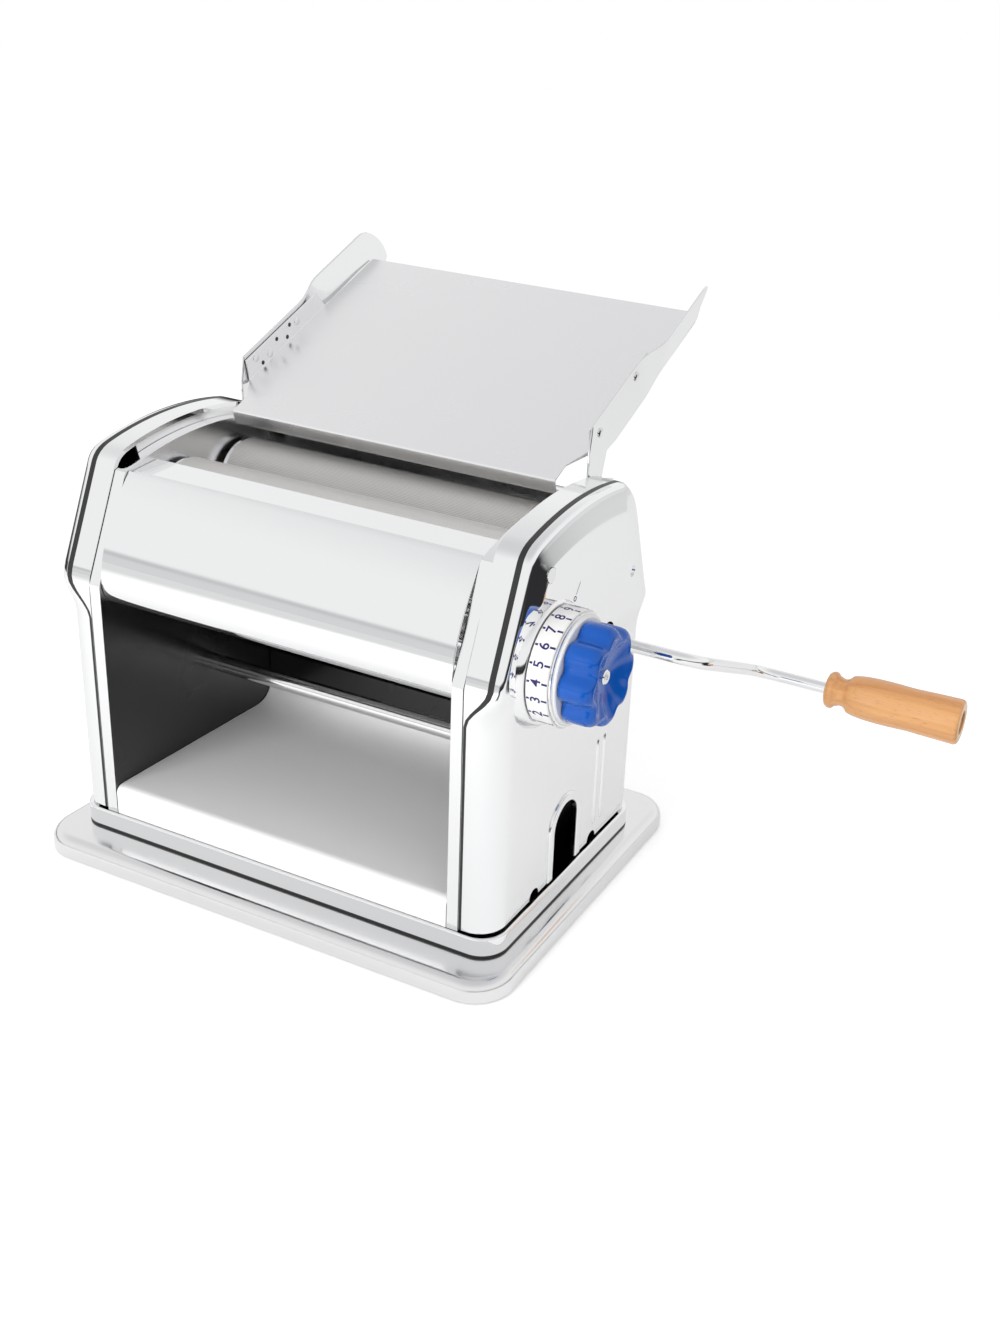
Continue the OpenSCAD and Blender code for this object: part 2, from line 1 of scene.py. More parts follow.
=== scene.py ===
# %% [markdown]
# This lesson dresses a table machine for rolling dough: two steel rollers in a bright metal
# housing, a sloping tray above them, a numbered dial and a crank with a wooden grip. The
# measured model comes in first as a fixed frame, and every piece made here sits on it.

# %% Load the frame
import math

import bmesh
import bpy
from mathutils import Matrix, Vector


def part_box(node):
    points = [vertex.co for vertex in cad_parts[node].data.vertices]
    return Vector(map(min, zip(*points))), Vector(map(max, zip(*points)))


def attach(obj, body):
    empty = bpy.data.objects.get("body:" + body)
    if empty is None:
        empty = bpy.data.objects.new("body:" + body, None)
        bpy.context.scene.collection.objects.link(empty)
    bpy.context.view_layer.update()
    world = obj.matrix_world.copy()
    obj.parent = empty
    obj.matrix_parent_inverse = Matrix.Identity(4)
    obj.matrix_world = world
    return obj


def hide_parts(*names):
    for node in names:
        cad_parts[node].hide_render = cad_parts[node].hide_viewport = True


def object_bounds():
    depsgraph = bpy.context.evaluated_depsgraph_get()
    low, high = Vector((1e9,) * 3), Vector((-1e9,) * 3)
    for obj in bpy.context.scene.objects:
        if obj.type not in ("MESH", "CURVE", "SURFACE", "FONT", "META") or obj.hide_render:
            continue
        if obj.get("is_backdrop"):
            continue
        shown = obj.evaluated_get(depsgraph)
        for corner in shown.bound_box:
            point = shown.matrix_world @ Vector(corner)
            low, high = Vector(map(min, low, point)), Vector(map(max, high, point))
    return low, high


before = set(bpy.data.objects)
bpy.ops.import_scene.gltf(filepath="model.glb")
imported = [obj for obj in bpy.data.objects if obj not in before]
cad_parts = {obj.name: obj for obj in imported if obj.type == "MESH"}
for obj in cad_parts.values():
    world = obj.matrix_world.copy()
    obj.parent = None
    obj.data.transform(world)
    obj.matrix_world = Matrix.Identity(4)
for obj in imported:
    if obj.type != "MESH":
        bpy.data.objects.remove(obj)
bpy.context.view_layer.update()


def plain_box():
    return [[float(v) for v in corner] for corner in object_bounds()]


MM = 0.001

# %% [markdown]
# The camera stands in front of the machine, to its right and above it. Its place and its
# three angles set the size and the slant at which the machine is seen. The lens is shifted
# a little, because the machine doesn't stand in the middle of the frame.

# %% Camera
CAMERA_AT = (0.43157, -0.61204, 0.46858)
AZIMUTH, ELEVATION, ROLL = 0.3720, 0.3896, 0.0907
SENSOR_WIDTH, LENS, SHIFT_X, SHIFT_Y = 36.0, 37.95, -0.1415, -0.0437
back = Vector((math.sin(AZIMUTH) * math.cos(ELEVATION),
               -math.cos(AZIMUTH) * math.cos(ELEVATION), math.sin(ELEVATION)))
right = Vector((math.cos(AZIMUTH), math.sin(AZIMUTH), 0.0))
up = back.cross(right)
side = math.cos(ROLL) * right + math.sin(ROLL) * up
top = -math.sin(ROLL) * right + math.cos(ROLL) * up
camera_data = bpy.data.cameras.new("camera")
camera_data.sensor_width = SENSOR_WIDTH
camera_data.lens = LENS
camera_data.shift_x = SHIFT_X
camera_data.shift_y = SHIFT_Y
camera = bpy.data.objects.new("camera", camera_data)
camera.matrix_world = Matrix((side, top, back)).transposed().to_4x4()
camera.location = CAMERA_AT
bpy.context.scene.collection.objects.link(camera)
bpy.context.scene.camera = camera
bpy.context.scene.view_settings.view_transform = "Standard"
print("camera at", [round(v, 3) for v in camera.location], "lens", camera_data.lens)

# %% [markdown]
# Materials are made of nodes. These helpers keep the node code short: they add a node and set
# its values, start a material around a Principled shader, start or place a shared group, mix
# two colours by a mask, join two masks, ramp a value smoothly and feed a bump.


# %% Helpers for nodes
def add_node(tree, kind, **values):
    node = tree.nodes.new("ShaderNode" + kind)
    for key, value in values.items():
        if key.startswith("in_"):
            name = key[3:].replace("_", " ")
            socket = node.inputs[int(name)] if name.isdigit() else node.inputs[name]
            socket.default_value = value
        else:
            setattr(node, key, value)
    return node


def new_material(name, **values):
    material = bpy.data.materials.new(name)
    material.use_nodes = True
    tree = material.node_tree
    tree.nodes.clear()
    out = add_node(tree, "OutputMaterial")
    shader = add_node(tree, "BsdfPrincipled")
    for key, value in values.items():
        shader.inputs[key.replace("_", " ")].default_value = value
    tree.links.new(shader.outputs["BSDF"], out.inputs["Surface"])
    return material, tree, shader


def new_group(name, inputs, outputs):
    tree = bpy.data.node_groups.new(name, "ShaderNodeTree")
    for label, kind, value in inputs:
        socket = tree.interface.new_socket(label, in_out="INPUT", socket_type="NodeSocket" + kind)
        socket.default_value = value
    for label, kind in outputs:
        tree.interface.new_socket(label, in_out="OUTPUT", socket_type="NodeSocket" + kind)
    return tree, tree.nodes.new("NodeGroupInput"), tree.nodes.new("NodeGroupOutput")


def use_group(tree, group, **values):
    node = tree.nodes.new("ShaderNodeGroup")
    node.node_tree = group
    for key, value in values.items():
        node.inputs[key.replace("_", " ")].default_value = value
    return node


def mixed(tree, mask, first, second):
    node = add_node(tree, "Mix", data_type="RGBA")
    tree.links.new(mask, node.inputs[0])
    for number, colour in ((6, first), (7, second)):
        if isinstance(colour, tuple):
            node.inputs[number].default_value = (*colour, 1.0)
        else:
            tree.links.new(colour, node.inputs[number])
    return node.outputs[2]


def joined(tree, operation, first, second, clamp=True):
    node = add_node(tree, "Math", operation=operation, use_clamp=clamp)
    tree.links.new(first, node.inputs[0])
    tree.links.new(second, node.inputs[1])
    return node.outputs[0]


def ramp_between(tree, value, low, high):
    node = add_node(tree, "MapRange", interpolation_type="SMOOTHSTEP", in_From_Min=low,
                    in_From_Max=high)
    tree.links.new(value, node.inputs["Value"])
    return node.outputs["Result"]


def add_bump(tree, shader, height, distance, strength=1.0):
    bump = add_node(tree, "Bump", in_Strength=strength, in_Distance=distance)
    tree.links.new(height, bump.inputs["Height"])
    tree.links.new(bump.outputs["Normal"], shader.inputs["Normal"])


print("node helpers are ready")

# %% [markdown]
# Polished metal is never perfectly even: wiping leaves soft cloudy patches that are a little
# duller. Three shared groups give that to every metal. "soft patches" turns noise into a
# roughness between two values, "sheet waviness" gives a very low height that makes the
# reflections swim, and "brush lines" stretches noise along X, as a belt grinder does.


# %% Shared shader groups
def build_patches():
    tree, gin, gout = new_group("soft patches", [("Scale", "Float", 12.0), ("Low", "Float", 0.03),
                                                 ("High", "Float", 0.1)], [("Roughness", "Float")])
    place = add_node(tree, "TexCoord")
    noise = add_node(tree, "TexNoise", in_Detail=3.0)
    spread = add_node(tree, "MapRange", in_From_Min=0.35, in_From_Max=0.7)
    tree.links.new(place.outputs["Object"], noise.inputs["Vector"])
    tree.links.new(gin.outputs["Scale"], noise.inputs["Scale"])
    tree.links.new(noise.outputs["Fac"], spread.inputs["Value"])
    tree.links.new(gin.outputs["Low"], spread.inputs["To Min"])
    tree.links.new(gin.outputs["High"], spread.inputs["To Max"])
    tree.links.new(spread.outputs["Result"], gout.inputs["Roughness"])
    return tree


def build_waviness():
    tree, gin, gout = new_group("sheet waviness", [("Scale", "Float", 9.0)], [("Height", "Float")])
    place = add_node(tree, "TexCoord")
    noise = add_node(tree, "TexNoise", in_Detail=1.0)
    tree.links.new(place.outputs["Object"], noise.inputs["Vector"])
    tree.links.new(gin.outputs["Scale"], noise.inputs["Scale"])
    tree.links.new(noise.outputs["Fac"], gout.inputs["Height"])
    return tree


def build_brush():
    tree, gin, gout = new_group("brush lines", [("Stretch", "Vector", (4.0, 900.0, 900.0))],
                                [("Height", "Float")])
    place = add_node(tree, "TexCoord")
    scale = add_node(tree, "VectorMath", operation="MULTIPLY")
    noise = add_node(tree, "TexNoise", in_Scale=1.0, in_Detail=2.0)
    tree.links.new(place.outputs["Object"], scale.inputs[0])
    tree.links.new(gin.outputs["Stretch"], scale.inputs[1])
    tree.links.new(scale.outputs["Vector"], noise.inputs["Vector"])
    tree.links.new(noise.outputs["Fac"], gout.inputs["Height"])
    return tree


PATCHES = build_patches()
WAVINESS = build_waviness()
BRUSH = build_brush()
print("groups:", PATCHES.name, "/", WAVINESS.name, "/", BRUSH.name)

# %% [markdown]
# Most of the machine is bright chrome plate: a nearly white metal with a very low roughness.
# The tray is satin stainless steel, whose fine brush lines run along X. One function makes
# them all, because only the values differ. The floor's steel has little Metallic, so that it
# keeps its own light colour and doesn't mirror the room. The black finish has no Metallic and
# stays dark: it is painted dark reflection on lines in the chrome and painted shade in holes.


# %% Metals
def metal(name, colour, low, high, waves=0.0, brush=0.0, stretch=(4.0, 900.0, 900.0),
          metallic=1.0):
    material, tree, shader = new_material(name, Base_Color=(*colour, 1.0), Metallic=metallic)
    patches = use_group(tree, PATCHES, Low=low, High=high)
    tree.links.new(patches.outputs["Roughness"], shader.inputs["Roughness"])
    group = use_group(tree, BRUSH, Stretch=stretch) if brush else use_group(tree, WAVINESS)
    add_bump(tree, shader, group.outputs["Height"], (brush or waves) * MM)
    return material


CHROME = metal("chrome plate", (0.86, 0.865, 0.87), 0.035, 0.085, waves=0.12)
CAST_CHROME = metal("cast chrome", (0.80, 0.80, 0.805), 0.16, 0.24, waves=0.2)
SATIN = metal("satin steel", (0.91, 0.91, 0.915), 0.25, 0.34, brush=0.012)
PLATE = metal("bright plate", (0.84, 0.845, 0.85), 0.08, 0.16, waves=0.1)
TURNED = metal("turned steel", (0.80, 0.80, 0.81), 0.07, 0.14, brush=0.01,
               stretch=(900.0, 20.0, 20.0))
GEAR = metal("gear steel", (0.46, 0.46, 0.47), 0.25, 0.4, brush=0.02)
FLOOR_STEEL = metal("floor steel", (0.93, 0.93, 0.935), 0.30, 0.38, brush=0.006, metallic=0.05)
# Painted dark reflection and painted shade: a black colour for dark lines in the chrome and for
# small holes.
PAINTED_SHADE_AND_REFLECTION = metal("dark seam", (0.012, 0.012, 0.013), 0.35, 0.5, waves=0.02, metallic=0.0)
BRONZE = metal("bearing bronze", (0.62, 0.40, 0.20), 0.25, 0.4, brush=0.02)
print("metals:", [m.name for m in (CHROME, CAST_CHROME, SATIN, PLATE, TURNED, GEAR, BRONZE)])

# %% [markdown]
# Below the rollers the inside of the housing has painted shade, a dark colour, and above them,
# where light comes in from the top, it has a light metal colour. One finish does both: the
# height above the table, read from Object coordinates, fades the painted shade smoothly into
# the light colour.


# %% Inner walls with painted shade
# Painted shade: the dark colour holds below 0.15 m and fades out by 0.20 m.
PAINTED_SHADE_BELOW, PAINTED_SHADE_ENDS_ABOVE = 0.15, 0.20
PAINTED_SHADE_WALL, BRIGHT_WALL = (0.09, 0.09, 0.092), (0.80, 0.80, 0.81)


def inner_wall():
    material = metal("painted shade inner wall", (0.5, 0.5, 0.5), 0.22, 0.32, brush=0.01)
    tree = material.node_tree
    place = add_node(tree, "TexCoord")
    parts = add_node(tree, "SeparateXYZ")
    tree.links.new(place.outputs["Object"], parts.inputs["Vector"])
    painted_shade_fade = ramp_between(tree, parts.outputs["Z"], PAINTED_SHADE_BELOW, PAINTED_SHADE_ENDS_ABOVE)
    colour = mixed(tree, painted_shade_fade, PAINTED_SHADE_WALL, BRIGHT_WALL)
    tree.links.new(colour, tree.nodes["Principled BSDF"].inputs["Base Color"])
    return material


PAINTED_SHADE_INNER_WALL = inner_wall()
print("inner walls turn from dark to bright between", PAINTED_SHADE_BELOW, "and", PAINTED_SHADE_ENDS_ABOVE, "m")

# %% [markdown]
# The rollers carry a fine diamond knurl that grips the dough. Two sets of slanting lines on
# an unrolled cylinder cross to make it: the angle around the roller times its radius gives
# the second direction. The pattern goes into a bump, a little into the roughness, and into
# the colour as painted shade, so that the grooves are darker than the points.


# %% Knurled steel
ROLLER_R, ROLLER_Y, ROLLER_Z = 23.0, 25.3, 201.0
KNURL_PITCH, KNURL_DEPTH = 1.8 * MM, 0.2 * MM
# Painted shade: the groove colour is darker than the points' colour.
PAINTED_GROOVE_SHADE, POINT = (0.60, 0.585, 0.56), (0.96, 0.95, 0.93)


def knurl(name, centre_y, centre_z, radius):
    material, tree, shader = new_material(name, Metallic=1.0)
    place = add_node(tree, "TexCoord")
    shift = add_node(tree, "Mapping", in_Location=(0.0, -centre_y, -centre_z))
    parts = add_node(tree, "SeparateXYZ")
    angle = add_node(tree, "Math", operation="ARCTAN2")
    arc = add_node(tree, "Math", operation="MULTIPLY", in_1=radius)
    tree.links.new(place.outputs["Object"], shift.inputs["Vector"])
    tree.links.new(shift.outputs["Vector"], parts.inputs["Vector"])
    tree.links.new(parts.outputs["Z"], angle.inputs[0])
    tree.links.new(parts.outputs["Y"], angle.inputs[1])
    tree.links.new(angle.outputs[0], arc.inputs[0])
    waves = []
    for operation in ("ADD", "SUBTRACT"):
        slant = add_node(tree, "Math", operation=operation)
        turn = add_node(tree, "Math", operation="MULTIPLY", in_1=2 * math.pi / KNURL_PITCH)
        wave = add_node(tree, "Math", operation="SINE")
        tree.links.new(parts.outputs["X"], slant.inputs[0])
        tree.links.new(arc.outputs[0], slant.inputs[1])
        tree.links.new(slant.outputs[0], turn.inputs[0])
        tree.links.new(turn.outputs[0], wave.inputs[0])
        waves.append(wave)
    cross = joined(tree, "MULTIPLY", waves[0].outputs[0], waves[1].outputs[0], clamp=False)
    add_bump(tree, shader, cross, KNURL_DEPTH)
    dull = add_node(tree, "MapRange", in_From_Min=-1.0, in_To_Min=0.3, in_To_Max=0.42)
    tree.links.new(cross, dull.inputs["Value"])
    tree.links.new(dull.outputs["Result"], shader.inputs["Roughness"])
    # Painted shade in the grooves, mixed by the knurl pattern.
    painted_shade_tone = add_node(tree, "MapRange", in_From_Min=-0.6, in_From_Max=0.6)
    tree.links.new(cross, painted_shade_tone.inputs["Value"])
    colour = mixed(tree, painted_shade_tone.outputs["Result"], PAINTED_GROOVE_SHADE, POINT)
    tree.links.new(colour, shader.inputs["Base Color"])
    return material


KNURL_FRONT = knurl("front knurl", -ROLLER_Y * MM, ROLLER_Z * MM, ROLLER_R * MM)
KNURL_REAR = knurl("rear knurl", ROLLER_Y * MM, ROLLER_Z * MM, ROLLER_R * MM)
print("knurl:", KNURL_FRONT.name, "/", KNURL_REAR.name)

# %% [markdown]
# The plastics and the rubber are simple: a colour with faint clouds, and a roughness that
# isn't quite even. The knob is a deep glossy blue with a clear coat.


# %% Plastics and rubber
def plastic(name, colour, cloud, low, high, coat=0.0, grain=0.0, specular=0.5):
    material, tree, shader = new_material(name, Coat_Weight=coat, Coat_Roughness=0.04,
                                          Specular_IOR_Level=specular)
    place = add_node(tree, "TexCoord")
    noise = add_node(tree, "TexNoise", in_Scale=45.0, in_Detail=3.0)
    tree.links.new(place.outputs["Object"], noise.inputs["Vector"])
    clouds = mixed(tree, noise.outputs["Fac"], colour, cloud)
    tree.links.new(clouds, shader.inputs["Base Color"])
    patches = use_group(tree, PATCHES, Scale=60.0, Low=low, High=high)
    tree.links.new(patches.outputs["Roughness"], shader.inputs["Roughness"])
    if grain:
        fine = add_node(tree, "TexNoise", in_Scale=1400.0, in_Detail=2.0)
        tree.links.new(place.outputs["Object"], fine.inputs["Vector"])
        add_bump(tree, shader, fine.outputs["Fac"], grain * MM, strength=0.4)
    return material


BLUE = plastic("knob blue", (0.001, 0.075, 0.40), (0.0015, 0.10, 0.48), 0.14, 0.2, coat=0.25,
               specular=0.28)
WHITE = plastic("dial white", (0.80, 0.80, 0.79), (0.86, 0.86, 0.85), 0.2, 0.3, coat=0.2)
INK = plastic("dial ink", (0.008, 0.006, 0.10), (0.012, 0.01, 0.13), 0.3, 0.4)
RUBBER = plastic("foot rubber", (0.02, 0.02, 0.02), (0.03, 0.03, 0.03), 0.6, 0.75, grain=0.05)
print("plastics:", [m.name for m in (BLUE, WHITE, INK, RUBBER)])

# %% [markdown]
# The grip is turned from beech. Its grain runs along the grip, so the noise is stretched
# along X and bent by a slower noise. Small dark flecks, the rays that beech is known by, are
# a second, shorter noise. A clear lacquer coat goes over it.


# %% Beech
def beech(name, light, dark, centre_y, centre_z):
    material, tree, shader = new_material(name, Coat_Weight=0.35, Coat_Roughness=0.12)
    place = add_node(tree, "TexCoord")
    shift = add_node(tree, "Mapping", in_Location=(0.0, -centre_y, -centre_z))
    grain_at = add_node(tree, "VectorMath", operation="MULTIPLY")
    grain_at.inputs[1].default_value = (9.0, 160.0, 160.0)
    grain = add_node(tree, "TexNoise", in_Scale=1.0, in_Detail=5.0, in_Distortion=0.6)
    fleck_at = add_node(tree, "VectorMath", operation="MULTIPLY")
    fleck_at.inputs[1].default_value = (160.0, 1500.0, 1500.0)
    fleck = add_node(tree, "TexNoise", in_Scale=1.0, in_Detail=1.0)
    ramp = add_node(tree, "ValToRGB")
    ramp.color_ramp.elements[0].position = 0.32
    ramp.color_ramp.elements[0].color = (*dark, 1.0)
    ramp.color_ramp.elements[1].position = 0.66
    ramp.color_ramp.elements[1].color = (*light, 1.0)
    spots = add_node(tree, "MapRange", in_From_Min=0.62, in_From_Max=0.72, in_To_Max=0.5)
    fleck_colour = (dark[0] * 0.75, dark[1] * 0.7, dark[2] * 0.6)
    tree.links.new(place.outputs["Object"], shift.inputs["Vector"])
    tree.links.new(shift.outputs["Vector"], grain_at.inputs[0])
    tree.links.new(shift.outputs["Vector"], fleck_at.inputs[0])
    tree.links.new(grain_at.outputs["Vector"], grain.inputs["Vector"])
    tree.links.new(fleck_at.outputs["Vector"], fleck.inputs["Vector"])
    tree.links.new(grain.outputs["Fac"], ramp.inputs["Fac"])
    tree.links.new(fleck.outputs["Fac"], spots.inputs["Value"])
    wood = mixed(tree, spots.outputs["Result"], ramp.outputs["Color"], fleck_colour)
    tree.links.new(wood, shader.inputs["Base Color"])
    patches = use_group(tree, PATCHES, Scale=90.0, Low=0.32, High=0.46)
    tree.links.new(patches.outputs["Roughness"], shader.inputs["Roughness"])
    add_bump(tree, shader, grain.outputs["Fac"], 0.1 * MM, strength=0.35)
    return material


GRIP_Y = 0.5 * sum(corner[1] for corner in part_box("wood_grip"))
GRIP_Z = 0.5 * sum(corner[2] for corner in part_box("wood_grip"))
BEECH = beech("beech", (0.80, 0.42, 0.17), (0.62, 0.27, 0.09), GRIP_Y, GRIP_Z)
BEECH_END = beech("beech end", (0.88, 0.62, 0.36), (0.74, 0.46, 0.24), GRIP_Y, GRIP_Z)
print("grip axis at y", round(GRIP_Y / MM, 1), "z", round(GRIP_Z / MM, 1))

# %% [markdown]
# Every CAD node that keeps its own mesh gets its finish here. A dictionary pairs the finish
# with the nodes, so it is easy to see what is made of what.

# %% Finishes of the measured nodes
FINISH = {
    "base_shell": CAST_CHROME, "bottom_plate": SATIN, "rubber_mat": RUBBER,
    "plinth_band": CHROME, "floor_tray": CHROME, "frame_left": CHROME, "frame_right": CHROME,
    "cover_left": CHROME, "cover_right": CHROME, "front_cover": CHROME, "top_strip": CHROME,
    "rear_cover": CHROME, "tie_rods": TURNED, "tie_rod_nuts": GEAR, "rear_bushes": BRONZE,
    "crank_bush": BRONZE, "scraper_blades": SATIN, "scraper_rods": TURNED,
    "cover_screws": TURNED, "bearing_block_left": BRONZE, "bearing_block_right": BRONZE,
    "front_roller": KNURL_FRONT, "sync_gear_front": GEAR, "rear_roller": KNURL_REAR,
    "sync_gear_rear": GEAR, "drive_gear": GEAR, "crank_spindle": TURNED, "crank_pinion": GEAR,
    "crank_rod": CHROME, "wood_grip": BEECH, "grip_nut": TURNED, "adjuster_shaft": TURNED,
    "adjuster_cams": GEAR, "dial_ring": WHITE, "dial_bezel": WHITE, "dial_knob": BLUE,
    "knob_screw": TURNED, "dough_tray": SATIN, "tray_wing_left": PLATE,
    "tray_wing_right": PLATE, "tray_rivets": TURNED,
}
for node_name, finish in FINISH.items():
    node_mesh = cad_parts[node_name].data
    node_mesh.materials.clear()
    node_mesh.materials.append(finish)
print("finished nodes:", len(FINISH), "of", len(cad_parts))


# %% Helpers for pieces
def as_object(bm, name, *materials, sharp=32.0, recalculate=True):
    bmesh.ops.remove_doubles(bm, verts=bm.verts, dist=1e-6)
    if recalculate:
        bmesh.ops.recalc_face_normals(bm, faces=bm.faces)
    mesh = bpy.data.meshes.new(name)
    bm.to_mesh(mesh)
    bm.free()
    for material in materials:
        mesh.materials.append(material)
    mesh.shade_smooth()
    mesh.set_sharp_from_angle(angle=math.radians(sharp))
    thing = bpy.data.objects.new(name, mesh)
    bpy.context.scene.collection.objects.link(thing)
    return thing


def shade_evenly(thing):
    even = thing.modifiers.new("even shading", "WEIGHTED_NORMAL")
    even.keep_sharp = True


def soften(thing, width, segments=2, angle=32.0):
    edge = thing.modifiers.new("edge", "BEVEL")
    edge.width = width * MM
    edge.segments = segments
    edge.angle_limit = math.radians(angle)
    edge.use_clamp_overlap = True
    edge.harden_normals = False
    shade_evenly(thing)


def thicken(thing, thickness, offset=-1.0, even=True):
    wall = thing.modifiers.new("wall", "SOLIDIFY")
    wall.thickness = thickness * MM
    wall.offset = offset
    wall.use_even_offset = even
    return thing


def apply_modifiers(thing):
    bpy.context.view_layer.update()
    graph = bpy.context.evaluated_depsgraph_get()
    made = bpy.data.meshes.new_from_object(thing.evaluated_get(graph))
    old = thing.data
    thing.modifiers.clear()
    thing.data = made
    bpy.data.meshes.remove(old)


def second_finish(thing, chosen):
    for face in thing.data.polygons:
        face.material_index = 1 if chosen(face) else 0


def belongs(thing, body, slot, *nodes):
    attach(thing, body)
    if nodes:
        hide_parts(*nodes)
    print(thing.name, "rides on", body, "faces", len(thing.data.polygons))
    return thing


def cut_with(thing, cutters):
    for cutter in cutters:
        hole = thing.modifiers.new("hole", "BOOLEAN")
        hole.object = cutter
        hole.operation = "DIFFERENCE"
        hole.solver = "EXACT"
    apply_modifiers(thing)
    for cutter in cutters:
        bpy.data.objects.remove(cutter, do_unlink=True)


# %% [markdown]
# Three ways of making a form come back again and again: a profile spun round an axis along X
# (rollers, dial, grip), a flat outline in the side view pulled out along X (plates, strips)
# and a bent line pulled out along X and given a thickness (sheet metal covers). Text and
# curves are drawn by Blender and are then read back as a mesh.


# %% Helpers for forms
def verts_of(made):
    return [v for v in made["geom"] if isinstance(v, bmesh.types.BMVert)]


def edges_of(made):
    return [e for e in made["geom"] if isinstance(e, bmesh.types.BMEdge)]


def lathe(profile, y, z, steps=72):
    bm = bmesh.new()
    verts = [bm.verts.new((x * MM, (y + r) * MM, z * MM)) for x, r in profile]
    edges = [bm.edges.new(pair) for pair in zip(verts, verts[1:])]
    bmesh.ops.spin(bm, geom=verts + edges, cent=(0.0, y * MM, z * MM), axis=(1.0, 0.0, 0.0),
                   angle=2.0 * math.pi, steps=steps, use_merge=True)
    return bm


def side_plate(outline, x0, x1, rounds=()):
    bm = bmesh.new()
    verts = [bm.verts.new((x0 * MM, y * MM, z * MM)) for y, z in outline]
    bm.faces.new(verts)
    for index, radius in rounds:
        bmesh.ops.bevel(bm, geom=[verts[index]], offset=radius * MM, segments=8, profile=0.5,
                        affect="VERTICES", material=-1)
    made = bmesh.ops.extrude_face_region(bm, geom=list(bm.faces))
    bmesh.ops.translate(bm, verts=verts_of(made), vec=((x1 - x0) * MM, 0.0, 0.0))
    return bm


def bent_strip(line, x0, x1, across=1):
    bm = bmesh.new()
    verts = [bm.verts.new((x0 * MM, y * MM, z * MM)) for y, z in line]
    edges = [bm.edges.new(pair) for pair in zip(verts, verts[1:])]
    for step in range(across):
        made = bmesh.ops.extrude_edge_only(bm, edges=edges)
        edges = edges_of(made)
        bmesh.ops.translate(bm, verts=verts_of(made), vec=((x1 - x0) / across * MM, 0.0, 0.0))
    return bm


def bend(a, b, c, count):
    points = []
    for i in range(count + 1):
        t = i / count
        points.append(tuple((1 - t) ** 2 * a[k] + 2 * t * (1 - t) * b[k] + t * t * c[k]
                            for k in range(2)))
    return points


def drawn(curve):
    holder = bpy.data.objects.new("holder", curve)
    bpy.context.scene.collection.objects.link(holder)
    bpy.context.view_layer.update()
    graph = bpy.context.evaluated_depsgraph_get()
    mesh = bpy.data.meshes.new_from_object(holder.evaluated_get(graph))
    bpy.data.objects.remove(holder, do_unlink=True)
    bm = bmesh.new()
    bm.from_mesh(mesh)
    bpy.data.meshes.remove(mesh)
    return bm


print("form helpers are ready")

# %% [markdown]
# The base is a heavy cast foot. It starts as a flat square whose corners are rounded by a
# vertex bevel; extruding gives it height, and a wide edge bevel round the top gives the soft
# shoulder that the light runs along. The plinth on it is made in the same way, with a small
# edge only. A cut just above its foot parts off a narrow band between plinth and base, which
# takes the black finish as a painted dark reflection line.


# %% Base and plinth
BASE_X, BASE_Y, BASE_FOOT, BASE_TOP = 151.5, 112.5, 1.5, 13.5
PLINTH_X, PLINTH_FRONT, PLINTH_BACK, PLINTH_TOP = 139.0, -91.0, 80.0, 25.5


def slab(x0, x1, y0, y1, z0, z1, corner, edge, edge_steps, painted_reflection_band=0.0):
    bm = bmesh.new()
    bmesh.ops.create_grid(bm, x_segments=1, y_segments=1, size=0.5)
    bmesh.ops.scale(bm, verts=bm.verts, vec=((x1 - x0) * MM, (y1 - y0) * MM, 1.0))
    bmesh.ops.translate(bm, verts=bm.verts,
                        vec=((x0 + x1) / 2 * MM, (y0 + y1) / 2 * MM, z0 * MM))
    bmesh.ops.bevel(bm, geom=list(bm.verts), offset=corner * MM, segments=16, profile=0.5,
                    affect="VERTICES", material=-1)
    made = bmesh.ops.extrude_face_region(bm, geom=list(bm.faces))
    bmesh.ops.translate(bm, verts=verts_of(made), vec=(0.0, 0.0, (z1 - z0) * MM))
    rim = [e for e in bm.edges if all(v.co.z > (z1 - 0.01) * MM for v in e.verts)]
    bmesh.ops.bevel(bm, geom=rim, offset=edge * MM, segments=edge_steps, profile=0.5,
                    affect="EDGES", material=-1)
    # The band below this height takes the black finish: a painted dark reflection line.
    if painted_reflection_band:
        bmesh.ops.bisect_plane(bm, geom=bm.verts[:] + bm.edges[:] + bm.faces[:],
                               plane_co=(0.0, 0.0, (z0 + painted_reflection_band) * MM), plane_no=(0.0, 0.0, 1.0))
        for face in bm.faces:
            face.material_index = 1 if face.calc_center_median().z < (z0 + painted_reflection_band) * MM else 0
    return bm


base = as_object(slab(-BASE_X, BASE_X, -BASE_Y, BASE_Y, BASE_FOOT, BASE_TOP,
                      corner=23.0, edge=6.5, edge_steps=8), "base", CAST_CHROME)
soften(base, 0.8)
belongs(base, "body", "chrome", "base_shell")
plinth = as_object(slab(-PLINTH_X, PLINTH_X, PLINTH_FRONT, PLINTH_BACK, BASE_TOP, PLINTH_TOP,
                        corner=15.0, edge=1.3, edge_steps=4, painted_reflection_band=1.5), "plinth", CHROME, PAINTED_SHADE_AND_REFLECTION)
soften(plinth, 0.3)
belongs(plinth, "body", "chrome", "plinth_band")

# %% [markdown]
# The side covers are deep drawn shells. Their outline in the side view is the same line that
# the frames have: an upright front and back, a bend, a slope and a long crown arc. It is kept
# as two lists of points from the foot up to the crown's top, one for the front and one for
# the back, with as many points each. A second pair of lines lies inside them, where the flat
# side of the cover begins.


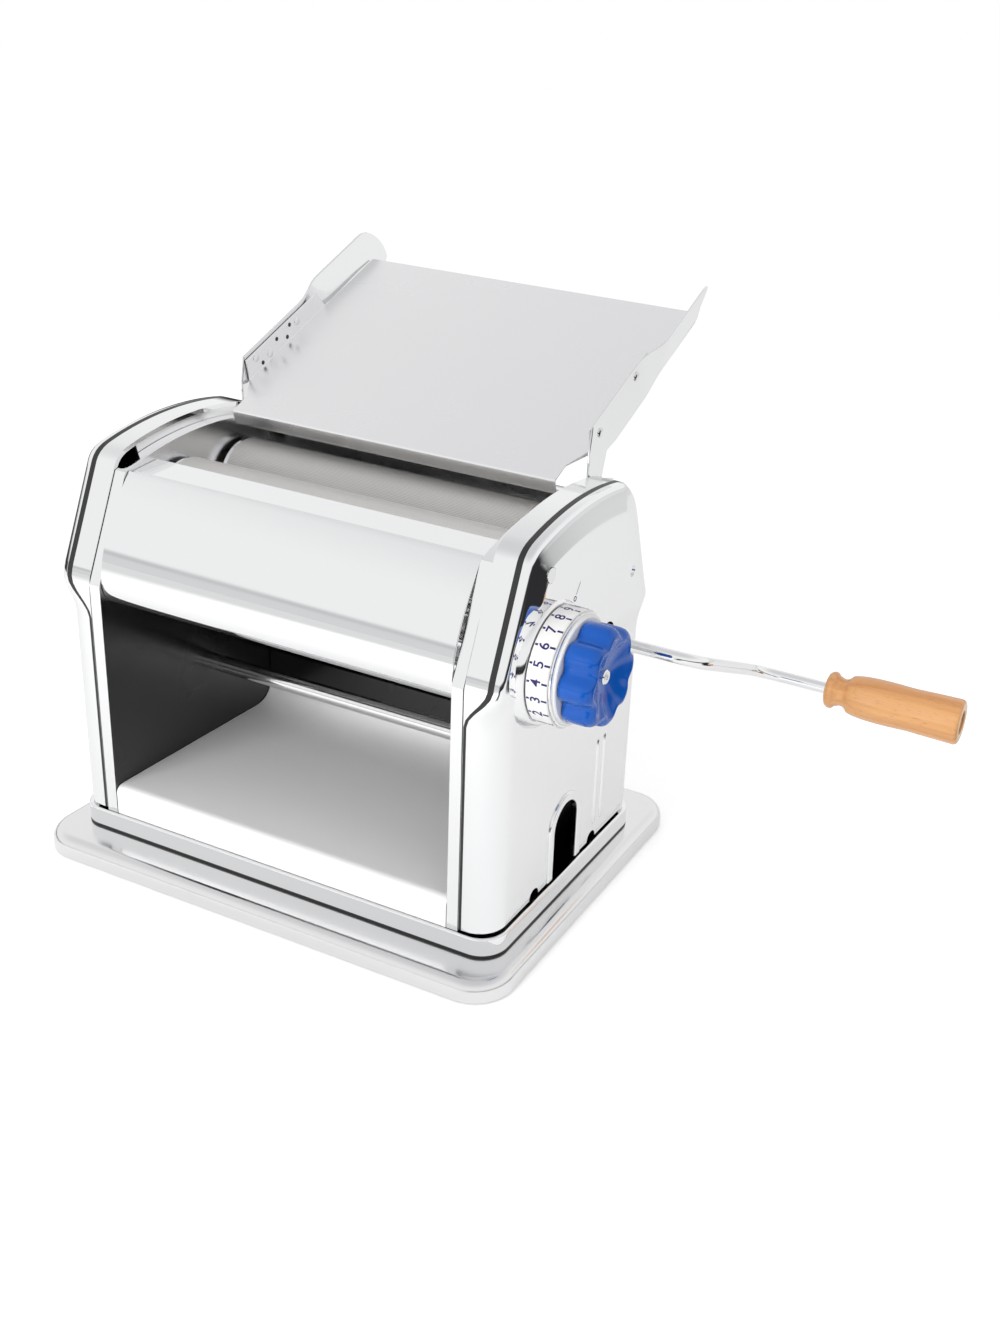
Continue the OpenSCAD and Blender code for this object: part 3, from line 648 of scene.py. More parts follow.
# %% Side cover outlines
COVER_FRONT, COVER_BACK, COVER_FOOT = -90.0, 78.0, 27.5
CROWN_Y, CROWN_Z, CROWN_R = 6.0, 28.0, 216.0
WALL_ROWS = (COVER_FOOT, 60.0, 95.0, 125.0, 140.0, 146.0, 150.0, 154.0, 158.0)
CORNER_ROW, CORNER_STEPS, LEDGE_DEPTH = 20, 6, 16.2


def smooth(value, low, high):
    t = min(1.0, max(0.0, (value - low) / (high - low)))
    return t * t * (3 - 2 * t)


def crown(y, radius):
    return CROWN_Z + math.sqrt(radius ** 2 - (y - CROWN_Y) ** 2)


def cover_outline(wall_y, bends, crown_points):
    line = [(wall_y, z) for z in WALL_ROWS]
    for start, middle, end, count in bends:
        line += bend(start, middle, end, count)
    return line + [(y, crown(y, CROWN_R)) for y in crown_points]


def inward(line, index, sign):
    before = line[max(index - 1, 0)]
    after = line[min(index + 1, len(line) - 1)]
    dy, dz = after[0] - before[0], after[1] - before[1]
    length = math.hypot(dy, dz)
    if index == len(line) - 1:
        return (0.0, -1.0)
    return (sign * dz / length, -sign * dy / length)


def inner_line(line, sign, corner):
    points = []
    for row, (y, z) in enumerate(line):
        n = inward(line, row, sign)
        points.append((y + n[0] * LEDGE_DEPTH, z + n[1] * LEDGE_DEPTH))
    points[CORNER_ROW:CORNER_ROW + CORNER_STEPS + 1] = bend(*corner, CORNER_STEPS)
    return points


FRONTS = cover_outline(COVER_FRONT, (((-90.0, 160.0), (-90.0, 168.0), (-87.2, 175.0), 4),
                                     ((-84.0, 182.6), (-76.0, 201.8), (-67.4, 222.5), 5),
                                     ((-65.5, 227.0), (-62.6, 233.0), (-54.0, 235.4), 5)),
                       (-46.0, -38.0, -30.0, -23.0, -17.0, -12.0, -8.0, -4.5, -1.5, 1.5, 6.0))
BACKS = cover_outline(COVER_BACK, (((78.0, 160.0), (77.9, 166.0), (75.2, 171.4), 4),
                                   ((72.6, 177.6), (65.0, 198.4), (56.9, 219.8), 5),
                                   ((54.9, 224.4), (52.0, 231.4), (44.5, 237.4), 5)),
                      (39.0, 34.0, 29.5, 25.5, 22.0, 19.0, 17.0, 15.0, 13.0, 10.5, 6.0))
FRONTS_INNER = inner_line(FRONTS, 1.0, ((-51.8, 218.0), (-50.9, 220.1), (-42.1, 221.9)))
BACKS_INNER = inner_line(BACKS, -1.0, ((39.3, 219.6), (38.3, 222.3), (33.4, 225.8)))
print("cover outline:", len(FRONTS), "rows in front,", len(BACKS), "behind")

# %% [markdown]
# A grid is the start of each shell. Each of its rows becomes a rib that runs from the frame
# out along the front wall, round the corner, across the side and back along the rear wall.
# The corner changes from a plain round one below to a bevelled one above, where the cover
# bulges to clear the gears. One lane of faces beside the frame takes the black finish, a
# painted dark reflection line. At the crown the last rib folds onto itself and is merged.


# %% Side cover shell
COVER_IN, COVER_OUT, COVER_BULGE = 117.3, 137.0, 141.0
LEDGE_RISE, BULGE_RISE = (146.0, 168.0), (147.0, 167.0)
# x of the lane beside the frame that carries the painted dark reflection line, below and above.
PAINTED_REFLECTION_LOW, PAINTED_REFLECTION_HIGH = (117.4, 119.1), (129.8, 133.1)
LOW_CORNER = [(122.0 + 15.0 * math.sin(math.radians(a)), 15.0 * (1 - math.cos(math.radians(a))))
              for a in (0, 11, 22, 34, 45, 56, 67, 79, 90)]
HIGH_CORNER = [(133.2, 0.0), (135.4, 0.25), (136.9, 1.1), (137.9, 2.7), (138.8, 6.2),
               (139.6, 9.7), (140.2, 12.4), (140.75, 14.2), (141.0, LEDGE_DEPTH)]
WALL_STEPS, SIDE_STEPS = 3, 12
RIB_STEPS = WALL_STEPS + len(LOW_CORNER) - 1


def rib_point(line, inner, row, step, sign):
    y, z = line[row]
    blend = smooth(z, *LEDGE_RISE)
    if step == 0:
        return (COVER_IN, y, z)
    if step < WALL_STEPS:
        return (PAINTED_REFLECTION_LOW[step - 1] * (1 - blend) + PAINTED_REFLECTION_HIGH[step - 1] * blend, y, z)
    n = inward(line, row, sign)
    low, high = LOW_CORNER[step - WALL_STEPS], HIGH_CORNER[step - WALL_STEPS]
    share = high[1] / LEDGE_DEPTH
    x = low[0] * (1 - blend) + high[0] * blend
    y_low, z_low = y + n[0] * low[1], z + n[1] * low[1]
    y_high, z_high = y + (inner[row][0] - y) * share, z + (inner[row][1] - z) * share
    return (x, y_low * (1 - blend) + y_high * blend, z_low * (1 - blend) + z_high * blend)


def cover_point(row, column, columns):
    if column <= RIB_STEPS:
        return rib_point(FRONTS, FRONTS_INNER, row, column, 1.0)
    if column >= RIB_STEPS + SIDE_STEPS:
        return rib_point(BACKS, BACKS_INNER, row, columns - column, -1.0)
    a = rib_point(FRONTS, FRONTS_INNER, row, RIB_STEPS, 1.0)
    b = rib_point(BACKS, BACKS_INNER, row, RIB_STEPS, -1.0)
    t = (column - RIB_STEPS) / SIDE_STEPS
    x, y, z = (a[k] * (1 - t) + b[k] * t for k in range(3))
    return (COVER_OUT + (COVER_BULGE - COVER_OUT) * smooth(z, *BULGE_RISE), y, z)


def cover_skin(mirrored):
    columns, rows = 2 * RIB_STEPS + SIDE_STEPS, len(FRONTS) - 1
    bm = bmesh.new()
    bmesh.ops.create_grid(bm, x_segments=columns, y_segments=rows, size=1.0)
    bm.verts.ensure_lookup_table()
    for index, vert in enumerate(bm.verts):
        x, y, z = cover_point(*divmod(index, columns + 1), columns)
        vert.co = (x * MM, y * MM, z * MM)
    bm.verts.index_update()
    for quad in bm.faces:
        lanes = {vert.index % (columns + 1) for vert in quad.verts}
        # The lane beside the frame takes the black finish, a painted dark reflection line.
        quad.material_index = 1 if lanes in ({1, 2}, {columns - 2, columns - 1}) else 0
    bmesh.ops.remove_doubles(bm, verts=bm.verts, dist=0.02 * MM)
    bmesh.ops.dissolve_degenerate(bm, edges=bm.edges, dist=0.01 * MM)
    if mirrored:
        bmesh.ops.scale(bm, verts=bm.verts, vec=(-1.0, 1.0, 1.0))
    bm.normal_update()
    outside = sum(f.normal.x * f.calc_area() for f in bm.faces)
    if (outside < 0.0) != mirrored:
        bmesh.ops.reverse_faces(bm, faces=bm.faces)
    return bm


print("cover grid:", 2 * RIB_STEPS + SIDE_STEPS, "by", len(FRONTS) - 1, "faces")

# %% [markdown]
# The shell is thickened and its openings are cut with solid cutters: an arch for the table
# clamp, two notches for the screws at the foot, two dimples, and on the right the holes for
# the crank and the dial. Shading is made smooth again after the cuts.


# %% Side covers
COVER_WALL = 2.4
CLAMP_Y, CLAMP_WIDTH, CLAMP_TOP = -12.0, 27.0, 70.0
NOTCHES, NOTCH_R = (-45.0, 23.0), 5.0
DIMPLES = ((-50.3, 217.9, 4.3, 1.2), (46.4, 189.0, 3.2, 1.0))
CUT_FROM, CUT_TO = 112.0, 150.0
CRANK_Y, CRANK_Z = 18.0, 158.27
DIAL_Y, DIAL_Z = -45.6, 169.2


def arch_outline(width, top, foot):
    r = width / 2
    line = [(CLAMP_Y - r, foot), (CLAMP_Y + r, foot)]
    line += [(CLAMP_Y + r * math.cos(a), top - r + r * math.sin(a))
             for a in [math.radians(d) for d in range(0, 181, 9)]]
    return line


def cutter_disc(x0, x1, y, z, r):
    return as_object(lathe([(x0, 0.0), (x0, r), (x1, r), (x1, 0.0)], y, z, 48), "cutter")


def make_cover(name, sign):
    cover = as_object(cover_skin(sign < 0), name, CHROME, PAINTED_SHADE_AND_REFLECTION, sharp=60.0, recalculate=False)
    thicken(cover, COVER_WALL, even=False)
    arch = side_plate(arch_outline(CLAMP_WIDTH, CLAMP_TOP, 20.0), sign * 110.0, sign * CUT_TO)
    cutters = [as_object(arch, "cutter")]
    for y in NOTCHES:
        cutters.append(cutter_disc(sign * CUT_FROM, sign * CUT_TO, y, COVER_FOOT, NOTCH_R))
    for y, z, r, depth in DIMPLES:
        cutters.append(cutter_disc(sign * (COVER_BULGE - depth), sign * CUT_TO, y, z, r))
    if sign > 0:
        cutters.append(cutter_disc(CUT_FROM, CUT_TO, CRANK_Y, CRANK_Z, 10.0))
        cutters.append(cutter_disc(CUT_FROM, CUT_TO, DIAL_Y, DIAL_Z, 20.0))
    cut_with(cover, cutters)
    cover.data.shade_smooth()
    cover.data.set_sharp_from_angle(angle=math.radians(35.0))
    shade_evenly(cover)
    belongs(cover, "body", "chrome", "cover_right" if sign > 0 else "cover_left")


make_cover("side_cover_right", 1)
make_cover("side_cover_left", -1)

# %% [markdown]
# Along each crown a narrow satin lip shows, where the cut edge of the cover's sheet lies
# beside the frame. It is a strip between two arcs about the crown's centre.

# %% Crown lips
LIP_OUTER, LIP_INNER, LIP_FROM, LIP_TO = 214.0, 207.0, 117.35, 118.7
for label, sign in (("right", 1), ("left", -1)):
    arc = [math.radians(a) for a in range(75, 107, 2)]
    band = [(CROWN_Y + radius * math.cos(a), CROWN_Z + radius * math.sin(a))
            for radius, angles in ((LIP_OUTER, arc), (LIP_INNER, arc[::-1])) for a in angles]
    lip = side_plate(band, sign * LIP_FROM, sign * LIP_TO)
    belongs(as_object(lip, "crown_lip_" + label, SATIN), "body", "chrome")

# %% [markdown]
# On each cover a raised rim runs round the hole for the table clamp, and two upright flutes
# stiffen the side. The rim is a band between two arches; its edges are bevelled so that it
# reads as pressed metal. The round collar on the right cover holds the dial.


# %% Rims, flutes and collar
RIM_WIDTH, RIM_TOP, RIM_IN, RIM_OUT = 38.0, 75.5, 136.4, 138.1
FLUTES, FLUTE_X, FLUTE_FLATNESS = (25.0, 33.5), 136.7, 0.55


def arch_rim(name, sign):
    outer = arch_outline(RIM_WIDTH, RIM_TOP, COVER_FOOT)
    inner = arch_outline(CLAMP_WIDTH, CLAMP_TOP, COVER_FOOT)
    line = outer[1:] + [outer[0]] + [inner[0]] + inner[:0:-1]
    rim = as_object(side_plate(line, sign * RIM_IN, sign * RIM_OUT), name, CHROME)
    soften(rim, 0.7, 3)
    belongs(rim, "body", "chrome")


def make_flute(name, x, y):
    bar = lathe([(36.0, 0.0), (38.0, 1.6), (44.0, 2.0), (86.0, 2.0), (92.0, 1.6), (94.0, 0.0)],
                0.0, 0.0, 20)
    bmesh.ops.rotate(bar, verts=bar.verts, cent=(0, 0, 0),
                     matrix=Matrix.Rotation(math.radians(-90), 3, "Y"))
    bmesh.ops.scale(bar, verts=bar.verts, vec=(FLUTE_FLATNESS, 1.0, 1.0))
    bmesh.ops.translate(bar, verts=bar.verts, vec=(x * MM, y * MM, 0.0))
    belongs(as_object(bar, name, CHROME), "body", "chrome")


for label, sign in (("right", 1), ("left", -1)):
    arch_rim("clamp_rim_" + label, sign)
    for number, y in enumerate(FLUTES):
        make_flute("flute_%s_%d" % (label, number), sign * FLUTE_X, y)

collar = as_object(lathe([(136.0, 35.5), (138.6, 34.6), (140.6, 33.0), (141.9, 32.3), (142.4, 31.6),
                          (142.4, 29.5), (141.5, 28.9), (139.5, 28.8), (139.5, 8.0), (136.0, 8.0),
                          (136.0, 35.5)], DIAL_Y, DIAL_Z, 96), "dial_collar", CHROME)
belongs(collar, "body", "chrome")

# %% [markdown]
# The front cover, the floor, the rear cover and the strip above the rollers are sheet metal.
# Each is one bent line in the side view, pulled out along X and thickened. The bends are
# short quadratic curves, which is how a press brake leaves a sheet: flat, bend, flat. The
# faces that look into the housing take the inner-wall finish, whose dark lower part is
# painted shade.

# %% Sheet covers
HALF = 109.7
FLOOR_EDGE_Z = 58.0
front_line = bend((-62.3, 224.0), (-83.0, 198.0), (-87.0, 174.0), 20)
front_line += bend((-87.0, 174.0), (-89.0, 160.0), (-81.0, 156.0), 8)[1:]
front_line += bend((-79.5, 155.6), (-77.0, 155.8), (-77.0, 160.0), 4)
front_cover = as_object(bent_strip(front_line, -HALF, HALF, 8), "front_sheet", CHROME, sharp=50.0)
thicken(front_cover, 1.4, offset=1.0)
soften(front_cover, 0.25, 1)
belongs(front_cover, "body", "chrome", "front_cover")

floor_line = [(-90.0, 25.8), (-90.0, 36.0)]
floor_line += bend((-90.0, 38.0), (-90.0, 43.3), (-84.7, 43.3), 7)
floor_line += [(-60.0, 43.3), (-20.0, 43.3), (20.0, 43.3)]
floor_line += bend((30.0, 43.3), (46.0, 43.3), (46.0, 59.3), 10)
floor_line += [(46.0, 77.3)]
floor_sheet = as_object(bent_strip(floor_line, -HALF, HALF, 4), "floor_sheet", FLOOR_STEEL,
                        PAINTED_SHADE_INNER_WALL, sharp=50.0)
apply_modifiers(thicken(floor_sheet, 1.5, offset=-1.0))
# Faces above the floor's edge take the inner-wall finish with its painted shade.
second_finish(floor_sheet, lambda face: face.center.z > FLOOR_EDGE_Z * MM)
soften(floor_sheet, 0.25, 1)
belongs(floor_sheet, "body", "chrome", "floor_tray")

rear_line = [(31.0, 232.0)] + bend((40.0, 231.0), (48.0, 230.0), (51.0, 223.0), 5)
rear_line += [(60.0, 203.0)] + bend((72.0, 177.0), (76.0, 168.0), (76.0, 158.0), 6)
rear_line += [(76.0, 120.0), (76.0, 70.0), (76.0, 25.8)]
rear_sheet = as_object(bent_strip(rear_line, -HALF, HALF, 4), "rear_sheet", CHROME, PAINTED_SHADE_INNER_WALL,
                       sharp=50.0)
apply_modifiers(thicken(rear_sheet, 1.5, offset=-1.0))
# Faces that look into the housing take the inner-wall finish with its painted shade.
second_finish(rear_sheet, lambda face: face.normal.y < -0.3)
soften(rear_sheet, 0.25, 1)
belongs(rear_sheet, "body", "chrome", "rear_cover")

strip = as_object(side_plate([(-60.7, 224.0), (-42.0, 226.5), (-42.0, 223.0), (-57.7, 220.0),
                              (-60.7, 220.0)], -HALF, HALF), "top_strip_bar", CHROME)
soften(strip, 0.6, 3)
belongs(strip, "body", "chrome", "top_strip")

# %% [markdown]
# Some measured plates have the right shape already and only lack the small radius that real
# edges have. A copy of the node's mesh is merged, its flat faces are joined, and a bevel
# runs round every edge. The broad sides of the frames then take the inner-wall finish, whose
# dark lower part is painted shade.


# %% Softened copies
def softened_copy(node, name, material, body, slot, width, segments=2, angle=28.0):
    bm = bmesh.new()
    bm.from_mesh(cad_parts[node].data)
    bmesh.ops.remove_doubles(bm, verts=bm.verts, dist=2e-6)
    bmesh.ops.dissolve_limit(bm, angle_limit=math.radians(1.0), verts=bm.verts, edges=bm.edges)
    thing = as_object(bm, name, material, sharp=angle, recalculate=False)
    soften(thing, width, segments, angle)
    return belongs(thing, body, slot, node)


for side_name in ("left", "right"):
    plate = softened_copy("frame_" + side_name, "frame_plate_" + side_name, CHROME, "body",
                          "chrome", 0.7, 3)
    # The broad sides take the inner-wall finish with its painted shade.
    plate.data.materials.append(PAINTED_SHADE_INNER_WALL)
    second_finish(plate, lambda face: abs(face.normal.x) > 0.95)
for side_name in ("left", "right"):
    softened_copy("bearing_block_" + side_name, "sliding_block_" + side_name, BRONZE,
                  "carriage", "bronze", 0.3)

# %% [markdown]
# Turned parts are lathed profiles. The rollers have a small chamfer at each end of the knurl
# and a smooth shoulder beside it; the journals go on into the bearings.


# %% Rollers
ROLLER_HALF, JOURNAL_END, JOURNAL_SHORT = 107.0, 129.5, 122.0


def make_roller(name, y, body, node, knurled, ends):
    half, r = ROLLER_HALF, ROLLER_R
    profile = [(-ends[0], 0.0), (-ends[0], 7.2), (-ends[0] + 0.8, 8.0), (-half, 8.0), (-half, 21.6),
               (-half + 0.6, 22.2), (-half + 3.0, 22.2), (-half + 3.6, r), (half - 3.6, r),
               (half - 3.0, 22.2), (half - 0.6, 22.2), (half, 21.6), (half, 8.0),
               (ends[1] - 0.8, 8.0), (ends[1], 7.2), (ends[1], 0.0)]
    roller = as_object(lathe(profile, y, ROLLER_Z, 128), name, TURNED, knurled)
    second_finish(roller, lambda face: abs(face.center.x) < (half - 3.6) * MM)
    belongs(roller, body, "roller_steel", node)


make_roller("roller_front", -ROLLER_Y, "front_roller_body", "front_roller", KNURL_FRONT,
            (JOURNAL_END, JOURNAL_SHORT))
make_roller("roller_rear", ROLLER_Y, "rear_roller_body", "rear_roller", KNURL_REAR,
            (JOURNAL_END, JOURNAL_END))

# %% [markdown]
# The thickness dial is a white ring, closed towards the knob by a flange with a bright edge.
# Both are spun profiles. The edge is bright because the faces up to its last step take the
# chrome finish.

# %% Dial ring
DIAL_R, DIAL_X, BRIGHT_EDGE = 30.8, 142.8, 156.25
ring = as_object(lathe([(DIAL_X, 28.0), (DIAL_X, 30.3), (DIAL_X + 0.5, DIAL_R),
                        (DIAL_X + 11.4, DIAL_R), (DIAL_X + 12.0, 30.3), (DIAL_X + 12.0, 5.2),
                        (DIAL_X + 9.0, 5.2), (DIAL_X + 9.0, 28.0), (DIAL_X, 28.0)],
                       DIAL_Y, DIAL_Z, 120), "dial_white_ring", WHITE)
belongs(ring, "knob", "dial_white", "dial_ring")
bezel = as_object(lathe([(154.8, 5.2), (154.8, 29.3), (155.1, 29.7), (155.9, 29.7), (156.2, 29.1),
                         (156.3, 28.2), (156.6, 28.0), (157.3, 28.0), (157.8, 27.4), (157.8, 5.2),
                         (154.8, 5.2)], DIAL_Y, DIAL_Z, 120), "dial_flange", WHITE, CHROME)
second_finish(bezel, lambda face: face.center.x < BRIGHT_EDGE * MM)
belongs(bezel, "knob", "dial_white", "dial_bezel")

# %% [markdown]
# The numbers on the ring are text turned into a mesh. Each letter point is then rolled onto
# the ring: its width becomes an angle and its height goes along X, so the numbers follow the
# curve and stand just proud. The ticks are small blocks that are rolled on in the same way.


# %% Numbers and ticks
NUMBER_STEP, NUMBER_EIGHT, LETTER_SIZE = 17.2, 105.0, 7.6


def roll_on(x, arc, lift, middle):
    angle = math.radians(middle) - arc / (DIAL_R * MM)
    r = (DIAL_R + lift) * MM
    return (x, DIAL_Y * MM + r * math.cos(angle), DIAL_Z * MM + r * math.sin(angle))


def make_number(text, angle):
    curve = bpy.data.curves.new("number_" + text, "FONT")
    curve.body = text
    curve.size = LETTER_SIZE * MM
    curve.offset = 0.12 * MM
    curve.align_x = "CENTER"
    curve.resolution_u = 4
    bm = drawn(curve)
    raised = set(verts_of(bmesh.ops.extrude_face_region(bm, geom=list(bm.faces))))
    for vert in bm.verts:
        lift = 0.06 if vert in raised else -0.05
        vert.co = roll_on(DIAL_X * MM + 8.1 * MM - vert.co.y, vert.co.x, lift, angle)
    number = as_object(bm, "dial_number_" + text, INK)
    belongs(number, "knob", "dial_white")


def make_tick(name, angle, x0, x1, width=1.1):
    bm = bmesh.new()
    bmesh.ops.create_cube(bm, size=1.0)
    for vert in bm.verts:
        x = (x0 if vert.co.x < 0 else x1) * MM
        lift = 0.06 if vert.co.z > 0 else -0.06
        vert.co = roll_on(x, vert.co.y * width * MM, lift, angle)
    tick = as_object(bm, name, INK)
    belongs(tick, "knob", "dial_white")


for value in range(1, 11):
    place_angle = NUMBER_EIGHT + (8 - value) * NUMBER_STEP
    make_number(str(value), place_angle)
    make_tick("dial_tick_%d" % value, place_angle, 151.6, 154.6)
    make_tick("dial_edge_tick_%d" % value, place_angle, 143.5, 145.0)

# %% [markdown]
# A thin line and a small ring on the cover show which number counts. They are printed, so
# they stand less than a tenth of a millimetre proud of the metal.

# %% Pointer mark
MARK_IN, MARK_OUT = 140.95, 141.08
pointer = side_plate([(-18.7, 203.6), (-18.1, 204.1), (-21.9, 198.9), (-22.5, 198.4)],
                     MARK_IN, MARK_OUT)
pointer_dot = as_object(lathe([(MARK_IN, 1.0), (MARK_OUT, 1.0), (MARK_OUT, 1.5), (MARK_IN, 1.5),
                               (MARK_IN, 1.0)], -23.4, 196.4, 32), "pointer_dot", INK)
belongs(pointer_dot, "body", "chrome")
belongs(as_object(pointer, "pointer_line", INK), "body", "chrome")

# %% [markdown]
# The knob is a glossy moulding with eight lobes. A circle is pulled out along X in steps; at
# each step its points move in or out with eight waves, and the waves fade towards the middle
# of the dished face. That way the lobes, their rounded rims and the dish are one surface.


# %% Knob
LOBES = 8


def lobed(angle, radius, depth):
    wave = 0.5 - 0.5 * math.cos(LOBES * angle)
    return radius - depth * wave ** 1.6


def make_knob():
    stations = [(157.9, 25.2, 3.2), (158.5, 26.3, 3.6), (159.6, 26.9, 3.8), (164.0, 27.0, 3.9),
                (170.0, 26.9, 4.0), (172.6, 26.4, 4.0), (174.4, 25.2, 3.8), (175.5, 23.4, 3.2),
                (175.7, 21.8, 2.7), (175.1, 20.2, 2.2), (173.9, 17.8, 1.6), (172.6, 14.6, 1.0),
                (171.5, 11.0, 0.5), (170.9, 7.4, 0.15), (170.6, 4.2, 0.0)]
    bm = bmesh.new()
    bmesh.ops.create_circle(bm, cap_ends=False, segments=160, radius=1.0)
    ring_verts, ring_edges, back_loop = list(bm.verts), list(bm.edges), list(bm.edges)
    for count, (x, radius, depth) in enumerate(stations):
        if count:
            made = bmesh.ops.extrude_edge_only(bm, edges=ring_edges)
            ring_verts, ring_edges = verts_of(made), edges_of(made)
        for vert in ring_verts:
            if count:
                angle = math.atan2(vert.co.z - DIAL_Z * MM, vert.co.y - DIAL_Y * MM)
            else:
                angle = math.atan2(vert.co.y, vert.co.x)
            r = lobed(angle, radius, depth)
            vert.co = (x * MM, (DIAL_Y + r * math.cos(angle)) * MM,
                       (DIAL_Z + r * math.sin(angle)) * MM)
    bmesh.ops.contextual_create(bm, geom=back_loop)
    bmesh.ops.contextual_create(bm, geom=ring_edges)
    knob = as_object(bm, "blue_knob", BLUE, sharp=50.0)
    belongs(knob, "knob", "knob_blue", "dial_knob")
    screw = as_object(lathe([(168.0, 0.0), (168.0, 4.0), (171.4, 4.0), (171.9, 3.4),
                             (172.0, 1.4), (171.2, 1.2), (171.2, 0.0)], DIAL_Y, DIAL_Z, 40),
                      "knob_cap_screw", TURNED)
    belongs(screw, "knob", "bright_steel", "knob_screw")


make_knob()

# %% [markdown]
# The crank rod is one round bar with two bends. A curve with a round bevel gives exactly
# that: straight runs between arcs, whose handles are 0.5523 of the bend radius long.


# %% Crank
CRANK_TILT, REACH, BEND_R, ARM_X = 24.0, 115.0, 16.0, 195.0
ROD_R, ROD_FROM, ROD_TO = 3.5, 132.0, 318.5


def make_rod():
    tilt = math.radians(CRANK_TILT)
    curve = bpy.data.curves.new("crank_rod_bar", "CURVE")
    curve.dimensions = "3D"
    curve.bevel_depth = ROD_R * MM
    curve.bevel_resolution = 6
    curve.resolution_u = 10
    curve.use_fill_caps = True
    handle = 0.5523 * BEND_R
    knots = [((ROD_FROM, 0.0), (1, 0), 1.0), ((ARM_X - BEND_R, 0.0), (1, 0), handle),
             ((ARM_X, BEND_R), (0, 1), handle), ((ARM_X, REACH - BEND_R), (0, 1), handle),
             ((ARM_X + BEND_R, REACH), (1, 0), handle), ((ROD_TO, REACH), (1, 0), 1.0)]
    spline = curve.splines.new("BEZIER")
    spline.bezier_points.add(len(knots) - 1)

    def out(x, along):
        return Vector((x, CRANK_Y + along * math.cos(tilt), CRANK_Z - along * math.sin(tilt))) * MM

    for point, ((x, along), (dx, da), length) in zip(spline.bezier_points, knots):
        point.co = out(x, along)
        point.handle_left = out(x - dx * length, along - da * length)
        point.handle_right = out(x + dx * length, along + da * length)
    rod = as_object(drawn(curve), "crank_bar", CHROME, sharp=50.0)
    belongs(rod, "crank", "bright_steel", "crank_rod")


make_rod()
hub = as_object(lathe([(108.0, 0.0), (108.0, 6.0), (129.0, 6.0), (129.0, 8.5), (145.8, 8.5),
                       (146.7, 8.0), (147.0, 7.2), (147.0, 4.0), (146.4, 3.6), (131.2, 3.56),
                       (131.2, 0.0)], CRANK_Y, CRANK_Z, 64), "crank_hub", TURNED)
belongs(hub, "crank", "bright_steel", "crank_spindle")

# %% [markdown]
# The grip is turned on a lathe, so it is a spun profile: a bead at the rod, a neck, a long
# swell and a flat sawn end with a small chamfer. The flat end gets its own finish, a paler
# copy of the beech.

# %% Grip
GRIP_X, END_GRAIN = 240.0, 81.85
grip_line = [(0.0, 3.6), (0.0, 8.6)] + bend((0.4, 9.6), (2.2, 11.6), (4.2, 11.0), 4)
grip_line += bend((4.8, 10.6), (5.6, 9.3), (7.0, 9.0), 3)
grip_line += bend((8.5, 8.4), (11.0, 7.6), (13.2, 9.8), 5)
grip_line += bend((14.5, 11.2), (22.0, 13.9), (48.0, 12.9), 12)
grip_line += bend((52.0, 12.8), (66.0, 13.3), (78.8, 13.5), 5)
grip_line += bend((79.6, 13.5), (81.2, 13.3), (81.8, 11.9), 4)
grip_line += [(82.0, 11.4), (82.0, 7.4), (81.6, 7.0), (77.2, 7.0), (77.2, 3.6), (0.0, 3.6)]
grip = as_object(lathe([(GRIP_X + x, r) for x, r in grip_line], GRIP_Y / MM, GRIP_Z / MM, 96),
                 "turned_grip", BEECH, BEECH_END, sharp=40.0)
second_finish(grip, lambda face: face.center.x > (GRIP_X + END_GRAIN) * MM)
belongs(grip, "grip", "beech", "wood_grip")

# %% [markdown]
# The tray is a flat satin sheet on a slope of 25 degrees, with a lip folded down at its lower
# edge and low rails folded up at its sides. It is made lying flat: the plan is one face, its
# edges are pulled out into the lip and the rails, and then every point goes onto the slope.


# %% Tray sheet
TRAY_Y, TRAY_Z, SLOPE, TRAY_LEN, KINK = 17.0, 242.0, math.radians(25.0), 164.0, 107.0
THROAT_X, RAIL_X, RAIL_HEIGHT, SHEET_LIFT = 105.8, 113.6, 13.0, 0.6


def sloped(along, lift):
    return (TRAY_Y + along * math.cos(SLOPE) - lift * math.sin(SLOPE),
            TRAY_Z + along * math.sin(SLOPE) + lift * math.cos(SLOPE))


